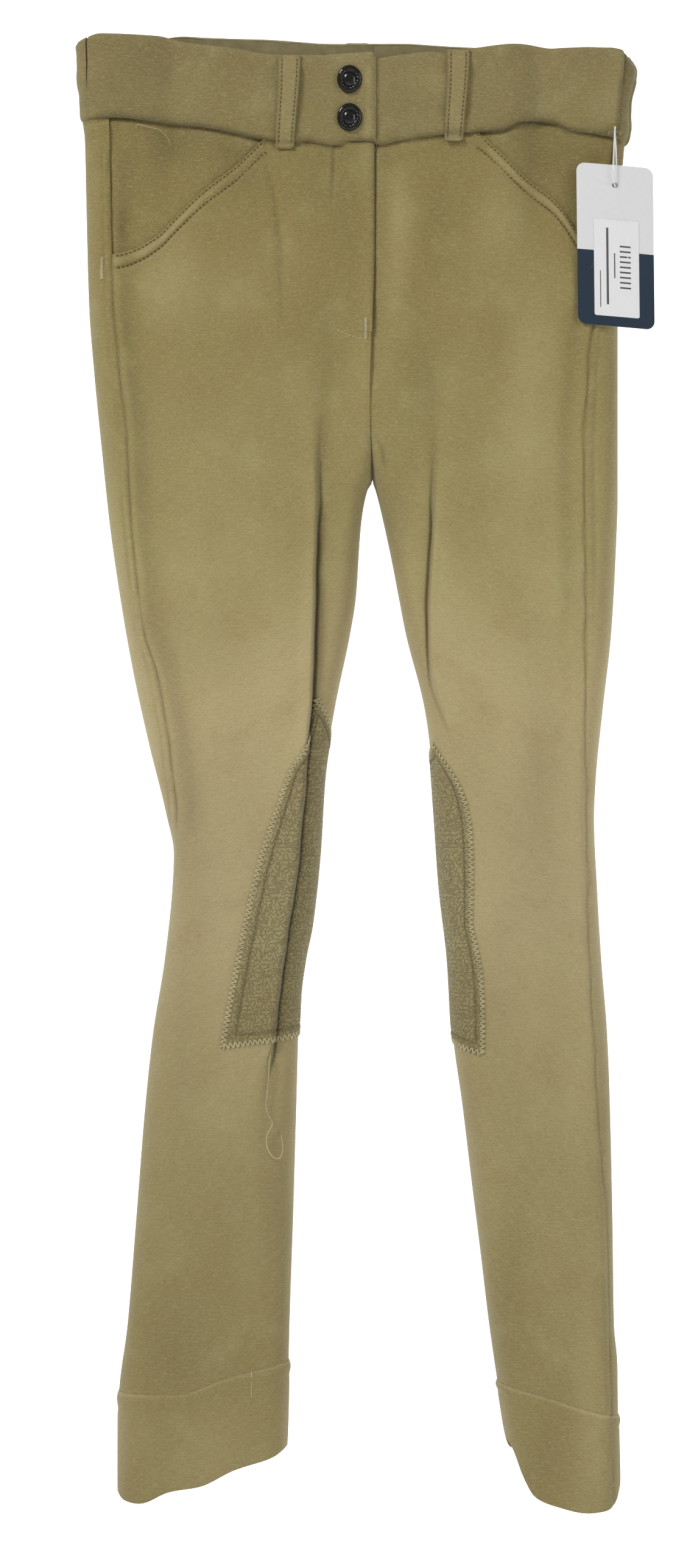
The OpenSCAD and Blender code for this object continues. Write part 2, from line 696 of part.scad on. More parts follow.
// A point of the smooth curve through the route, part way t from point i to the next
function on_route(i, t) = let (p = thread_route, last = len(p) - 1,
    a = p[max(i - 1, 0)], b = p[i], c = p[min(i + 1, last)], d = p[min(i + 2, last)])
    0.5 * (2 * b + (c - a) * t + (2 * a - 5 * b + 4 * c - d) * t * t + (3 * b - a - 3 * c + d) * t * t * t);
function unit(v) = v / norm(v);

// The thread: rings of points swept along its route
module loose_thread() {
    spans = len(thread_route) - 1;
    line = [for (i = [0:spans - 1], k = [0:thread_steps - 1]) on_route(i, k / thread_steps),
        thread_route[spans]];
    last = len(line) - 1;
    points = [for (i = [0:last]) let (run = unit(line[min(i + 1, last)] - line[max(i - 1, 0)]),
        side = unit(cross(run, [0, 1, 0])), up = cross(side, run))
        for (k = [0:thread_sides - 1]) let (turn = 360 * k / thread_sides)
            line[i] + thread_d / 2 * (cos(turn) * side + sin(turn) * up)];
    walls = [for (i = [0:last - 1], k = [0:thread_sides - 1]) let (j = (k + 1) % thread_sides,
        low = i * thread_sides) [low + k, low + j, low + thread_sides + j, low + thread_sides + k]];
    start = [for (k = [thread_sides - 1:-1:0]) k];
    end = [for (k = [0:thread_sides - 1]) last * thread_sides + k];
    color(khaki_dark) polyhedron(points, concat(walls, [start, end]), convexity = 6);
}

waistband_front_right();
waistband_front_left();
waistband_underlap();
waistband_back();
waistband_elastic();
waistband_facing_right();
waistband_facing_left();
waistband_facing_back();
size_label();
belt_loop_front_right();
belt_loop_front_left();
belt_loop_back_right();
belt_loop_back_centre();
belt_loop_back_left();
front_panel_right();
front_panel_left();
back_panel_right();
back_panel_left();
pocket_facing_right();
pocket_facing_left();
pocket_bag_right();
pocket_bag_left();
fly_shield();
zip_tape_right();
zip_tape_left();
zip_teeth_right();
zip_teeth_left();
zip_top_stops();
zip_bottom_stop();
zip_slider();
zip_pull();
snap_studs();
snap_posts();
snap_caps();
snap_sockets();
waistband_overlap();
fly_placket();
thigh_front_right();
thigh_back_right();
knee_patch_upper_right();
thigh_front_left();
thigh_back_left();
knee_patch_upper_left();
shin_front_right();
shin_back_right();
knee_patch_lower_right();
cuff_right();
shin_front_left();
shin_back_left();
knee_patch_lower_left();
cuff_left();
tag_anchor();
tag_loop();
tag_card();
tag_sticker();
loose_thread();
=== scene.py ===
"""Children's riding breeches, hung flat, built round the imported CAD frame.

Lengths are in millimetres until a mesh, curve or light is made, and in metres from there on.
"""

import math

import bmesh
import bpy
import numpy as np
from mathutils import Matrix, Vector


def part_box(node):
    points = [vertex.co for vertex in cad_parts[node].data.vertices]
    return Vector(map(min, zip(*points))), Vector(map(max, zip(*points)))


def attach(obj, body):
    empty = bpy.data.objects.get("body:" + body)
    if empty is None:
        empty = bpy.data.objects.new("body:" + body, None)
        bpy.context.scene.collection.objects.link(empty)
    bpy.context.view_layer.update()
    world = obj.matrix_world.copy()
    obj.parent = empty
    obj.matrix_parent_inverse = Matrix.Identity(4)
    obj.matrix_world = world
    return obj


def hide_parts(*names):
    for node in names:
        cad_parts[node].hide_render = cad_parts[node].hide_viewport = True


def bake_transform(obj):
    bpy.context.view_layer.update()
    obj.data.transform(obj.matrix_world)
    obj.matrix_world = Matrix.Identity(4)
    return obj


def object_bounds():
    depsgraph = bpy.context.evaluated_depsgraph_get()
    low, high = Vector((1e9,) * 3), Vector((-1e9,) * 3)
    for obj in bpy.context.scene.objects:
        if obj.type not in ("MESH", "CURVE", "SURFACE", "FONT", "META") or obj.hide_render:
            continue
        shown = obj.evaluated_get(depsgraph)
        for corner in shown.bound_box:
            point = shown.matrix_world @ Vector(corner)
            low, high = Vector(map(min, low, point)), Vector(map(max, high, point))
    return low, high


MM = 0.001
RIGHT, LEFT = -1, 1  # the wearer's sides, as the sign of X
NAME = {RIGHT: "right", LEFT: "left"}

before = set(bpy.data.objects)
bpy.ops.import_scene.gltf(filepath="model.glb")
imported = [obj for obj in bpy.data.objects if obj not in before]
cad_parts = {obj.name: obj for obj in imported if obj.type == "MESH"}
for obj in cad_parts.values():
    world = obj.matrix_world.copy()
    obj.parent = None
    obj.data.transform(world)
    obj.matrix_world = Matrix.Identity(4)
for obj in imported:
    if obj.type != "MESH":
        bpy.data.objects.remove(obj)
cad_box = [list(corner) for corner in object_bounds()]


# ---------------------------------------------------------------- curves and the garment's outline


def curve(*points):
    """A smooth curve through (key, value) points that never overshoots them."""
    k, v = np.array(sorted(points), float).T
    h = np.diff(k)
    d = np.diff(v) / h
    mean = 2 * d[:-1] * d[1:] / np.where(d[:-1] * d[1:] > 0, d[:-1] + d[1:], 1)
    m = np.concatenate([[d[0]], np.where(d[:-1] * d[1:] > 0, mean, 0), [d[-1]]])

    def at(q):
        q = np.clip(q, k[0], k[-1])
        i = np.clip(np.searchsorted(k, q) - 1, 0, len(h) - 1)
        t = (q - k[i]) / h[i]
        ends = v[i] * (1 + 2 * t) * (1 - t) ** 2 + v[i + 1] * t * t * (3 - 2 * t)
        return ends + h[i] * (m[i] * t * (1 - t) ** 2 + m[i + 1] * t * t * (t - 1))

    return at


def smooth(a, b, x):
    """0 before a, 1 after b, and a soft step between."""
    t = np.clip((x - a) / (b - a), 0, 1)
    return t * t * (3 - 2 * t)


def bell(x, width):
    """1 where x is 0, falling softly to nothing over about twice the width."""
    return np.exp(-((x / width) ** 2))


# Side folds, inner edges and side seams of the legs, as (height, sideways place)
OUTER = {
    RIGHT: curve(
        (6, -169.6), (-16, -168.8), (-30, -168), (-48, -166.3), (-60, -164.8), (-95, -164), (-161, -162.2),
        (-205, -158.8), (-249, -154.4), (-293, -149.7), (-337, -143.4), (-381, -135.7), (-425, -126.1),
        (-468, -115.5), (-492, -111), (-512, -111.9), (-556, -116.6), (-600, -123.6), (-644, -128.3),
        (-710, -133.6), (-776, -139), (-820, -144.2), (-884, -144.7)),
    LEFT: curve(
        (6, 164.8), (-11, 165.8), (-18, 168.4), (-24, 167.6), (-34, 164.8), (-50, 164.2), (-58, 162.8),
        (-66, 161.2), (-74, 160.6), (-84, 158.4), (-120, 157.6), (-183, 157.4), (-271, 157.4), (-315, 156),
        (-359, 153.4), (-403, 148.5), (-447, 144.1), (-470, 143.1), (-512, 144.9), (-556, 147.5), (-600, 151),
        (-644, 152.7), (-710, 154.2), (-776, 155.2), (-800, 157.2), (-842, 157.8), (-884, 158.8)),
}
CROTCH = -267
centre_line = curve((6, 9), (-62, 9.4), (-128, 9.4), (-178, 8.2), (-220, 7.3), (CROTCH, 9.2))
_inner = {
    RIGHT: curve(
        (CROTCH, 9.2), (-272, 6), (-293, 2.2), (-337, -0.9), (-359, -4.4), (-403, -13.5), (-447, -20.3),
        (-490, -23), (-534, -27.7), (-556, -32), (-578, -34.8), (-644, -36.9), (-710, -38.8), (-776, -41),
        (-820, -42), (-884, -43.5)),
    LEFT: curve(
        (CROTCH, 9.2), (-272, 11), (-293, 16.1), (-315, 20.8), (-337, 25), (-359, 29.3), (-403, 40.4),
        (-425, 43.6), (-468, 46.9), (-512, 50), (-556, 55), (-600, 57.6), (-644, 63.5), (-688, 68.8),
        (-732, 74.3), (-776, 79.6), (-820, 86), (-842, 89.4), (-884, 97)),
}
SIDE_SEAM = {
    RIGHT: curve(
        (6, -163), (-40, -162), (-46, -149.8), (-100, -148.5), (-157, -146.8), (-203, -142.7), (-240, -138.5),
        (-287, -136), (-329, -132), (-360, -127.7), (-382, -120.5), (-424, -113.5), (-470, -108.6),
        (-492, -109.5), (-884, -143)),
    LEFT: curve(
        (6, 161.8), (-14, 160.8), (-35, 158.8), (-57, 156.4), (-64, 154.6), (-120, 149), (-179, 141),
        (-222, 137.5), (-259, 136), (-343, 137), (-403, 136.9), (-521, 138.3), (-639, 143.8), (-733, 150.5),
        (-828, 152.4), (-884, 154)),
}
# How far forward the front lies and how far back the back does, as (height, Y); both legs share one seat
_seat_front = ((6, -12), (-70, -12.8), (-174, -14.8), (-220, -16), (-330, -18), (-400, -17.5))
FRONT = {
    RIGHT: curve(*_seat_front, (-505, -15.5), (-600, -15.5), (-750, -14.5), (-884, -15)),
    LEFT: curve(*_seat_front, (-505, -16), (-600, -16), (-750, -17), (-884, -19)),
}
_seat_back = ((6, 10.5), (-60, 11.5), (-120, 18), (-200, 21.5), (-330, 22), (-505, 19), (-600, 21))
BACK = {
    RIGHT: curve(*_seat_back, (-750, 20), (-884, 19)),
    LEFT: curve(*_seat_back, (-750, 23), (-884, 26)),
}
MID = curve((6, -0.5), (-120, 1.5), (-884, 2.5))
EDGE_R = 13  # how far in from a fold the cloth reaches its full depth
OPEN_FROM, OPEN_TO = CROTCH, CROTCH + 40  # the crotch seam curves forward over this height

# The waistband's upper edge and its seam, in front and behind, as (sideways place, height)
_left_end = ((140, -5.6), (152, -5.6), (159, -6.8), (165, -9.6), (168.5, -14.5))
band_top = curve(
    (-169, -2), (-154, 2.5), (-120, 1.5), (-101, -3), (-74, -7), (-47, -10.6), (-27, -11), (9, -9.4),
    (11.4, -12.8), (24, -10.8), (43, -9), (54, -9.6), (67, -7.4), (102, -4), (119, -6.2), *_left_end)
band_seam = curve(
    (-166, -51), (-146, -48), (-125, -51), (-101, -53.5), (-79, -57.5), (-57, -62.6), (-43, -65),
    (-30, -64.2), (-15, -66.2), (-2, -63.4), (9, -62.6), (11.6, -65.6), (24, -63.4), (40, -61.2),
    (56, -59), (87, -56.5), (97, -51.5), (108, -50), (118, -51.5), (129.6, -57), (142, -58.4),
    (155, -60.4), (163, -65.5))
back_top = curve(
    (-169, -2), (-120, 1.5), (-101, 3.7), (-57, 2.6), (-12, 0), (30, 0), (63, -2), (102, -3.7), (119, -6),
    *_left_end)
back_seam = curve((-166, -51), (-100, -54), (0, -56), (100, -57), (150, -59.8), (163, -65.5))
GRIP_X, GRIP_W = 111, 12  # where each of the hanger's clips bites, and how wide
SNAP_X, SNAP_Z = -4.8, (-26, -49)
CREASE = curve((6, -27.4), (-10, -24.5), (-178, 5.9), (-190, 8.07))  # the line that the fly flap folds about
FLY_FOOT = -178  # where the fly's flap ends

# The fold down each leg where the front lies over the inner thigh: its line, and its height at each level
FOLD = {
    RIGHT: curve(
        (-50, -36), (-180, -20), (-213, -22), (-290, -24.6), (-352, -26), (-398, -27.6), (-428, -30.4),
        (-500, -36.8), (-538, -42.8), (-573, -47.3), (-607, -51.2), (-700, -64), (-884, -75)),
    LEFT: curve(
        (-50, 58), (-160, 50), (-225, 46.6), (-305, 45.2), (-352, 42.8), (-384, 44.5), (-420, 55), (-500, 66),
        (-884, 112)),
}
FOLD_HEIGHT = {
    RIGHT: curve(
        (-150, 0), (-225, 3), (-290, 5.6), (-360, 7.4), (-560, 7.4), (-604, 5.2), (-630, 1.8), (-670, 0)),
    LEFT: curve((-160, 0), (-235, 2.4), (-300, 4.4), (-380, 4), (-426, 0)),
}
# Over how many millimetres the cloth rises at a fold: it is sharp in the middle and soft at both ends
FOLD_SOFT = curve((-160, 16), (-215, 7), (-275, 1.2), (-300, 0.5), (-596, 0.5), (-630, 4), (-680, 9))

# The pockets' mouths, from the waist seam to the side seam
POCKET = {
    RIGHT: curve(
        (-170, -133), (-148, -131), (-134.3, -127.4), (-119.3, -118.5), (-109.8, -108.5), (-93.3, -93),
        (-72.5, -77), (-56, -61)),
    LEFT: curve(
        (73, -58), (86.7, -70.6), (99.9, -83.4), (116, -95.6), (124, -104.7), (132, -117), (141, -128),
        (152, -134), (170, -136)),
}
POCKET_START = {RIGHT: -56, LEFT: 73}


def openness(z):
    """0 below the crotch, where each leg is a tube of its own, and 1 above it, where front and back part."""
    return np.sqrt(smooth(OPEN_FROM, OPEN_TO, z))


def inner(side, z):
    """Sideways place of a leg's inner edge, which is the centre line above the crotch."""
    return np.where(z > CROTCH, centre_line(z), _inner[side](z))


def section(side, z, back):
    """Inner edge, width, depth, edge radius, edge length and whole length of a leg's face at height z."""
    xi = inner(side, z)
    width = np.abs(OUTER[side](z) - xi)
    depth = (BACK if back else FRONT)[side](z) - MID(z)
    r = np.minimum(EDGE_R, 0.3 * width)
    edge = math.pi / 2 * np.sqrt((r * r + depth * depth) / 2)
    return xi, width, depth, r, edge, 2 * edge + width - 2 * r


def share_at(side, z, x, back=False):
    """How far round a face, 0 at its inner edge to 1 at the side fold, the sideways place x lies."""
    xi, width, _, r, edge, whole = section(side, z, back)
    reach = np.clip(side * (x - xi), 0, width)
    near = edge * np.arccos(np.clip(1 - reach / r, -1, 1)) / (math.pi / 2)
    far = whole - edge * np.arccos(np.clip((reach - width + r) / r, -1, 1)) / (math.pi / 2)
    return np.where(reach < r, near, np.where(reach > width - r, far, edge + reach - r)) / whole


def waves(seed, size, count=14):
    """Soft irregular waves about size long, between about -1 and 1, the same ones each run."""
    r = np.random.default_rng(seed)
    turn, phase = r.uniform(0, math.pi, count), r.uniform(0, 2 * math.pi, count)
    k = 2 * math.pi / (size * r.uniform(0.7, 1.6, count))

    def at(x, z):
        along = (x * math.cos(t) + z * math.sin(t) for t in turn)
        return sum(np.sin(k[i] * a + phase[i]) for i, a in enumerate(along)) / math.sqrt(count)

    return at


broad_waves = {RIGHT: waves(3, 110), LEFT: waves(5, 110)}
small_waves = {RIGHT: waves(7, 34), LEFT: waves(9, 34)}


def from_line(path, x, z):
    """Distance to a polyline of (x, z) points, and how far along it, 0 to 1, the nearest point is."""
    best, along = np.full(np.shape(x), 1e9), np.zeros(np.shape(x))
    for i, (a, b) in enumerate(zip(path, path[1:])):
        dx, dz = b[0] - a[0], b[1] - a[1]
        t = np.clip(((x - a[0]) * dx + (z - a[1]) * dz) / (dx * dx + dz * dz), 0, 1)
        d = np.hypot(x - a[0] - t * dx, z - a[1] - t * dz)
        along = np.where(d < best, (i + t) / (len(path) - 1), along)
        best = np.minimum(best, d)
    return best, along


SHARP_CREASE = 3  # a crease narrower than this gets painted shade along its bottom
# Soft creases, as (side, is on the back, width, height, path)
CREASES = [
    (RIGHT, False, 1.3, -0.9, [(-14.4, -60), (-14.6, -80), (-15.6, -98)]),
    (RIGHT, False, 2.2, -0.7, [(-55, -78), (-49.5, -102), (-47, -131), (-46, -170)]),
    (LEFT, False, 2.0, -0.9, [(11, -240), (15, -250), (17, -262)]),
    (RIGHT, False, 9, -1.4, [(5, -262), (-18, -300), (-48, -322)]),
    (RIGHT, False, 8, -1.1, [(0, -240), (-26, -262), (-60, -268)]),
    (LEFT, False, 9, -1.3, [(12, -262), (34, -296), (60, -312)]),
    (LEFT, False, 8, -0.9, [(12, -238), (36, -256), (70, -262)]),
    (RIGHT, False, 12, 1.2, [(-112, -150), (-100, -260), (-86, -380)]),
    (RIGHT, False, 11, -1.3, [(-128, -230), (-112, -330), (-96, -430)]),
    (LEFT, False, 12, 1.3, [(104, -200), (100, -330), (96, -450)]),
    (LEFT, False, 9, -1.0, [(122, -330), (118, -420), (108, -480)]),
    (RIGHT, False, 7, -0.9, [(-106, -486), (-84, -500), (-60, -506)]),
    (RIGHT, False, 7, -0.7, [(-108, -520), (-88, -528), (-66, -528)]),
    (LEFT, False, 7, -0.9, [(142, -470), (120, -484), (92, -488)]),
    (LEFT, False, 8, -0.7, [(143, -508), (122, -516), (96, -514)]),
    (RIGHT, False, 12, 1.1, [(-88, -560), (-96, -680), (-106, -800)]),
    (RIGHT, False, 9, -0.8, [(-62, -640), (-70, -720), (-78, -800)]),
    (LEFT, False, 10, 1.2, [(104, -560), (116, -680), (128, -800)]),
    (LEFT, False, 9, -1.0, [(84, -640), (98, -730), (108, -800)]),
    (RIGHT, True, 9, -2.0, [(6, -262), (-36, -284), (-84, -290)]),
    (LEFT, True, 9, -2.0, [(12, -262), (52, -284), (104, -290)]),
    (RIGHT, True, 8, -1.5, [(2, -290), (-40, -318), (-92, -316)]),
    (LEFT, True, 8, -1.5, [(20, -290), (60, -316), (112, -314)]),
    (RIGHT, True, 10, 1.4, [(-70, -330), (-74, -420), (-66, -500)]),
    (LEFT, True, 10, 1.4, [(92, -330), (98, -420), (96, -500)]),
    (RIGHT, True, 6, -1.7, [(-108, -492), (-70, -506), (-28, -500)]),
    (LEFT, True, 6, -1.7, [(142, -492), (98, -506), (52, -500)]),
    (RIGHT, True, 6, -1.2, [(-110, -516), (-72, -526), (-34, -522)]),
    (LEFT, True, 6, -1.2, [(143, -516), (100, -526), (56, -522)]),
    (RIGHT, True, 11, 1.2, [(-84, -560), (-92, -700), (-98, -800)]),
    (LEFT, True, 11, 1.2, [(104, -560), (116, -700), (126, -800)]),
]


def pinch(x, z):
    """How far the hanger's clips press the cloth in, most at the waistband and fading below it."""
    grips = bell(np.abs(x) - GRIP_X, GRIP_W) + 0.35 * smooth(GRIP_X, GRIP_X + 22, np.abs(x))
    return grips * smooth(-165, -48, z)


def creases(side, x, z, back):
    """Width, height, distance and strength of each crease on one face of a leg."""
    for at_side, at_back, width, height, path in CREASES:
        if at_side == side and at_back == back:
            d, along = from_line(path, x, z)
            yield width, height, d, np.sin(math.pi * np.clip(along, 0.06, 0.94)) ** 0.6


def side_seam_marks(side, x, z):
    """Distance outward of the side seam, 1 where the seam shows, and 1 where it has a second row."""
    shows = smooth(-60, -72, z) * (1 - smooth(-462, -490, z) * (side == RIGHT))
    return side * (x - SIDE_SEAM[side](z)), shows, 1 - smooth(-300, -380, z) * (side == LEFT)


def mouth_marks(side, x, z):
    """Distance below the pocket's mouth, and 1 along the mouth, falling to 0 at its ends."""
    along = smooth(0, 6, side * (x - POCKET_START[side])) * smooth(-2, 3, -side * (x - SIDE_SEAM[side](z)))
    return POCKET[side](x) - z, along


def relief(side, x, z, back):
    """How far the cloth stands out from the smooth tube, in its folds, seams and waves."""
    out = 0.9 * broad_waves[side](x + 400 * back, z) + 0.22 * small_waves[side](x, z + 300 * back)
    for width, height, d, strength in creases(side, x, z, back):
        out = out + height * bell(d, width) * strength
    if back:
        seat_seam = bell(x - centre_line(z), 1.6) * smooth(-255, -235, z) * smooth(-62, -75, z)
        yoke = z + 128 - 0.16 * np.abs(x - 9)
        return out - 1.6 * seat_seam - 1.2 * bell(yoke, 1.4) + 0.7 * bell(yoke - 4, 2.6)

    # The fold down the thigh: positive on its outer side
    d = side * (x - FOLD[side](z) - 0.3 * small_waves[side](z * 0, z))
    off = np.abs(d)
    lap = np.where(d > 0, np.exp(-off / 34), -np.exp(-off / 30)) * np.tanh(off / FOLD_SOFT(z))
    crisp = smooth(-215, -300, z) * smooth(-680, -610, z)
    edge = 0.12 * bell(d - 2.5, 2.5) - 0.42 * bell(d + 1.1, 0.9)
    out = out + FOLD_HEIGHT[side](z) * (0.5 * lap + crisp * edge)

    under = band_seam(x) - z  # how far below the waist seam
    out = out - 1.7 * bell(under - 0.3, 1.7) + 0.5 * bell(under - 5.5, 3.6)

    seam, shows, pair = side_seam_marks(side, x, z)
    seam = seam + 0.6 * small_waves[side](z, z * 0)
    ridge = -1.1 * bell(seam, 0.9) + pair * (0.8 * bell(seam - 2.2, 1.5) - 0.8 * bell(seam - 4.6, 0.8))
    ridge = ridge + 0.8 * bell(seam + 3.4, 2.6)
    ridge = ridge - 1.3 * bell(seam + 10, 4.5) * smooth(-60, -160, z) * smooth(-450, -380, z)
    out = out + ridge * shows

    below, mouth = mouth_marks(side, x, z)
    roll = 0.7 * bell(below - 4.6, 2.8) + 0.4 * bell(below - 12, 2.4)
    out = out + mouth * (roll - 0.8 * bell(below - 9.0, 1.0))

    fly = x - centre_line(z)
    high = smooth(-268, -250, z) * smooth(-60, -68, z)
    deep = 0.5 + 0.7 * smooth(-186, -150, z)
    return out + high * np.where(side == RIGHT, 0.9 * bell(fly + 3, 3.5), -deep * bell(fly - 0.6, 1.5))


# Marks on the cloth in front, stains and patches of painted shade, as (x, z, half width, half height,
# strength); those below 0 are lighter patches of painted light
STAINS_AND_PAINTED_LIGHT = {
    RIGHT: [(-112, -66, 17, 12, 0.3), (-142, -113, 3, 12, 0.4), (-79, -70, 8, 6, 0.26),
            (-66, -86, 15, 12, 0.16), (-26, -96, 14, 26, 0.2), (-4, -112, 9, 34, 0.12),
            (-96, -150, 40, 26, -0.05), (-20, -170, 22, 26, 0.14), (-70, -250, 34, 60, 0.07),
            (-106, -470, 12, 60, 0.12), (-80, -520, 16, 60, -0.06), (-104, -640, 12, 70, 0.14),
            (-90, -800, 40, 22, 0.14), (-52, -700, 8, 60, 0.2), (-118, -790, 22, 40, 0.1)],
    LEFT: [(116, -72, 15, 12, 0.26), (46, -112, 10, 34, 0.2), (24, -108, 6, 40, -0.1),
           (90, -120, 22, 26, -0.06), (36, -186, 12, 46, 0.2), (70, -160, 18, 50, -0.04),
           (100, -230, 18, 60, -0.05), (22, -290, 9, 34, 0.2), (112, -470, 12, 60, 0.14),
           (84, -440, 12, 60, -0.06), (120, -560, 12, 60, 0.1), (104, -700, 20, 80, -0.06),
           (92, -760, 12, 60, 0.16), (112, -856, 10, 26, 0.1), (140, -800, 10, 60, -0.1)],
}


def painted_light_and_soil(side, x, z):
    """How far the cloth is darkened, or lightened where it is below 0: random tone and stains, painted shade
    in its creases, fold, seams and under the waistband, and painted highlights on ridges.
    """
    w = 0.05 * broad_waves[side](x * 2 + 90, z * 0.7)
    # Stains, and soft patches of painted shade and painted light
    for cx, cz, wide, tall, amount in STAINS_AND_PAINTED_LIGHT[side]:
        w = w + amount * bell((x - cx) / wide, 1) * bell((z - cz) / tall, 1)
    # Painted shade along the bottom of each sharp crease
    for width, _, d, strength in creases(side, x, z, False):
        if width < SHARP_CREASE:
            w = w + 0.42 * bell(d, 0.7 * width) * strength
    # Painted shade in the fold's groove and over the recessed inner strip, and a painted highlight on the
    # ridge beside it
    d = side * (x - FOLD[side](z))
    h = FOLD_HEIGHT[side](z) / 7
    w = w + h * (0.6 * bell(d + 0.8, 0.5 + FOLD_SOFT(z)) + 0.12 * smooth(1, -3, d) - 0.08 * bell(d - 5, 5))
    # Painted shade in the side seam's grooves and in the trough inward of it
    seam, shows, pair = side_seam_marks(side, x, z)
    w = w + shows * 0.26 * bell(seam, 0.8)
    w = w + shows * pair * (0.2 * bell(seam - 4.6, 0.7) + 0.16 * bell(seam + 10, 5))
    # Painted shade along the pocket mouth's edge and its lower stitch groove, and a painted highlight on the
    # roll between them
    below, mouth = mouth_marks(side, x, z)
    w = w + mouth * (0.2 * bell(below - 9.0, 0.8) + 0.16 * bell(below - 1.7, 0.7))
    w = w - mouth * 0.14 * bell(below - 4.6, 2.4)
    # Painted shadow under the waistband, along the waist seam's valley
    under = band_seam(x) - z
    w = w + 0.9 * bell(under, 0.9) + 0.08 * bell(under - 5, 6)
    # Painted shade along the fly's centre seam
    fly = x - centre_line(z)
    return w + smooth(-268, -250, z) * smooth(-190, -160, z) * 0.4 * bell(fly - 0.4, 1.0)


def face(side, z, f, back=False):
    """Points of one leg's front or back: f runs from 0 at its inner edge to 1 at the side fold."""
    xi, _, depth, r, edge, whole = section(side, z, back)
    s = f * whole
    near = np.clip(s / edge, 0, 1) * math.pi / 2
    far = np.clip((whole - s) / edge, 0, 1) * math.pi / 2
    reach = r * (1 - np.cos(near)) + np.clip(s - edge, 0, whole - 2 * edge) + r * np.cos(far)
    x = xi + side * reach
    opened = openness(z)
    full = opened + (1 - opened) * np.sin(near)  # how far the cloth has reached its depth at the inner edge
    out = relief(side, x, z, back) * np.minimum(full, np.sin(far)) ** 1.5
    pressed = pinch(x, z) * (6 if back else 7.2)
    sign = 1 if back else -1
    y = MID(z) + depth * full * np.sin(far) + sign * (out - pressed * np.sin(far))
    return np.stack([x, y, z + 0 * x], axis=-1)


# ---------------------------------------------------------------- meshes


def normals_of(grid):
    """Unit normals of a grid of points."""
    n = np.cross(np.gradient(grid, axis=1), np.gradient(grid, axis=0))
    return n / np.maximum(np.linalg.norm(n, axis=-1, keepdims=True), 1e-9)


def facing(grid, toward):
    """Unit normals of a grid, on the side that faces toward, and whether its own order faces there."""
    n = normals_of(grid)
    own = float((n @ np.array(toward, float)).mean()) >= 0
    return (n if own else -n), own


def mesh(name, points, faces, material, uv=None, normals=None, painted_light_and_wear=None, rim_from=None):
    """A mesh object from points in millimetres, with one (u, v), normal and value of painted shade, highlight
    and wear for each point.

    Faces from rim_from on keep their own normals, where the others take those of their points.
    """
    data = bpy.data.meshes.new(name)
    data.from_pydata((np.asarray(points) * MM).tolist(), [], [tuple(f) for f in faces])
    data.polygons.foreach_set("use_smooth", [True] * len(data.polygons))
    loops = np.zeros(len(data.loops), np.int32)
    data.loops.foreach_get("vertex_index", loops)
    if uv is not None:
        layer = data.uv_layers.new(name="cloth")
        layer.data.foreach_set("uv", (np.asarray(uv)[loops] * MM).astype(np.float32).ravel())
    data.materials.append(material)
    data.update()
    if painted_light_and_wear is not None:
        layer = data.attributes.new("painted_light_and_wear", "FLOAT", "POINT")
        layer.data.foreach_set("value", np.asarray(painted_light_and_wear, np.float32).ravel())
    if normals is not None:
        of_loops = np.asarray(normals)[loops]
        for polygon in data.polygons[rim_from:]:
            of_loops[polygon.loop_start:polygon.loop_start + polygon.loop_total] = polygon.normal
        data.normals_split_custom_set(of_loops.tolist())
    obj = bpy.data.objects.new(name, data)
    bpy.context.scene.collection.objects.link(obj)
    return obj


def grid_faces(rows, cols, start=0, wrap=False):
    """Quads between the rows of a grid of points, joined round at its ends with wrap."""
    i, j = np.meshgrid(np.arange(rows - 1), np.arange(cols if wrap else cols - 1), indexing="ij")
    a, b = i * cols + j, i * cols + (j + 1) % cols
    return np.stack([a, b, b + cols, a + cols], -1).reshape(-1, 4) + start


def cloth_uv(grid):
    """Distance along each row, and height: the cloth's own coordinates."""
    steps = np.linalg.norm(np.diff(grid, axis=1), axis=-1)
    along = np.concatenate([np.zeros((len(grid), 1)), np.cumsum(steps, axis=1)], axis=1)
    return np.stack([along, grid[..., 2]], -1)


def shell(name, grid, thick, material, toward, normals=None, uv=None, painted_light_and_wear=None):
    """A closed sheet of cloth: the grid is its outer face, and it is thick inward."""
    n, own = facing(grid, toward)
    n = n if normals is None else normals
    uv = (cloth_uv(grid) if uv is None else uv).reshape(-1, 2)
    rows, cols = grid.shape[:2]
    count = rows * cols
    rim = np.concatenate([np.arange(cols), np.arange(1, rows) * cols + cols - 1,
                          (rows - 1) * cols + np.arange(cols - 2, -1, -1), np.arange(rows - 2, 0, -1) * cols])
    after = np.roll(rim, -1)
    sides = np.stack([rim, rim + count, after + count, after], -1)
    faces = np.concatenate([grid_faces(rows, cols), grid_faces(rows, cols, count)[:, ::-1], sides])
    points = np.concatenate([grid.reshape(-1, 3), (grid - n * thick).reshape(-1, 3)])
    flat = n.reshape(-1, 3)
    return mesh(name, points, faces if own else faces[:, ::-1], material, np.concatenate([uv, uv + thick]),
                np.concatenate([flat, -flat]), None if painted_light_and_wear is None else np.concatenate([painted_light_and_wear.ravel()] * 2),
                len(faces) - len(sides))


def eased(count, pull=0.5):
    """0 to 1 in count steps, closer together at the ends."""
    t = np.linspace(0, 1, count)
    return (1 - pull) * t + pull * (0.5 - 0.5 * np.cos(math.pi * t))


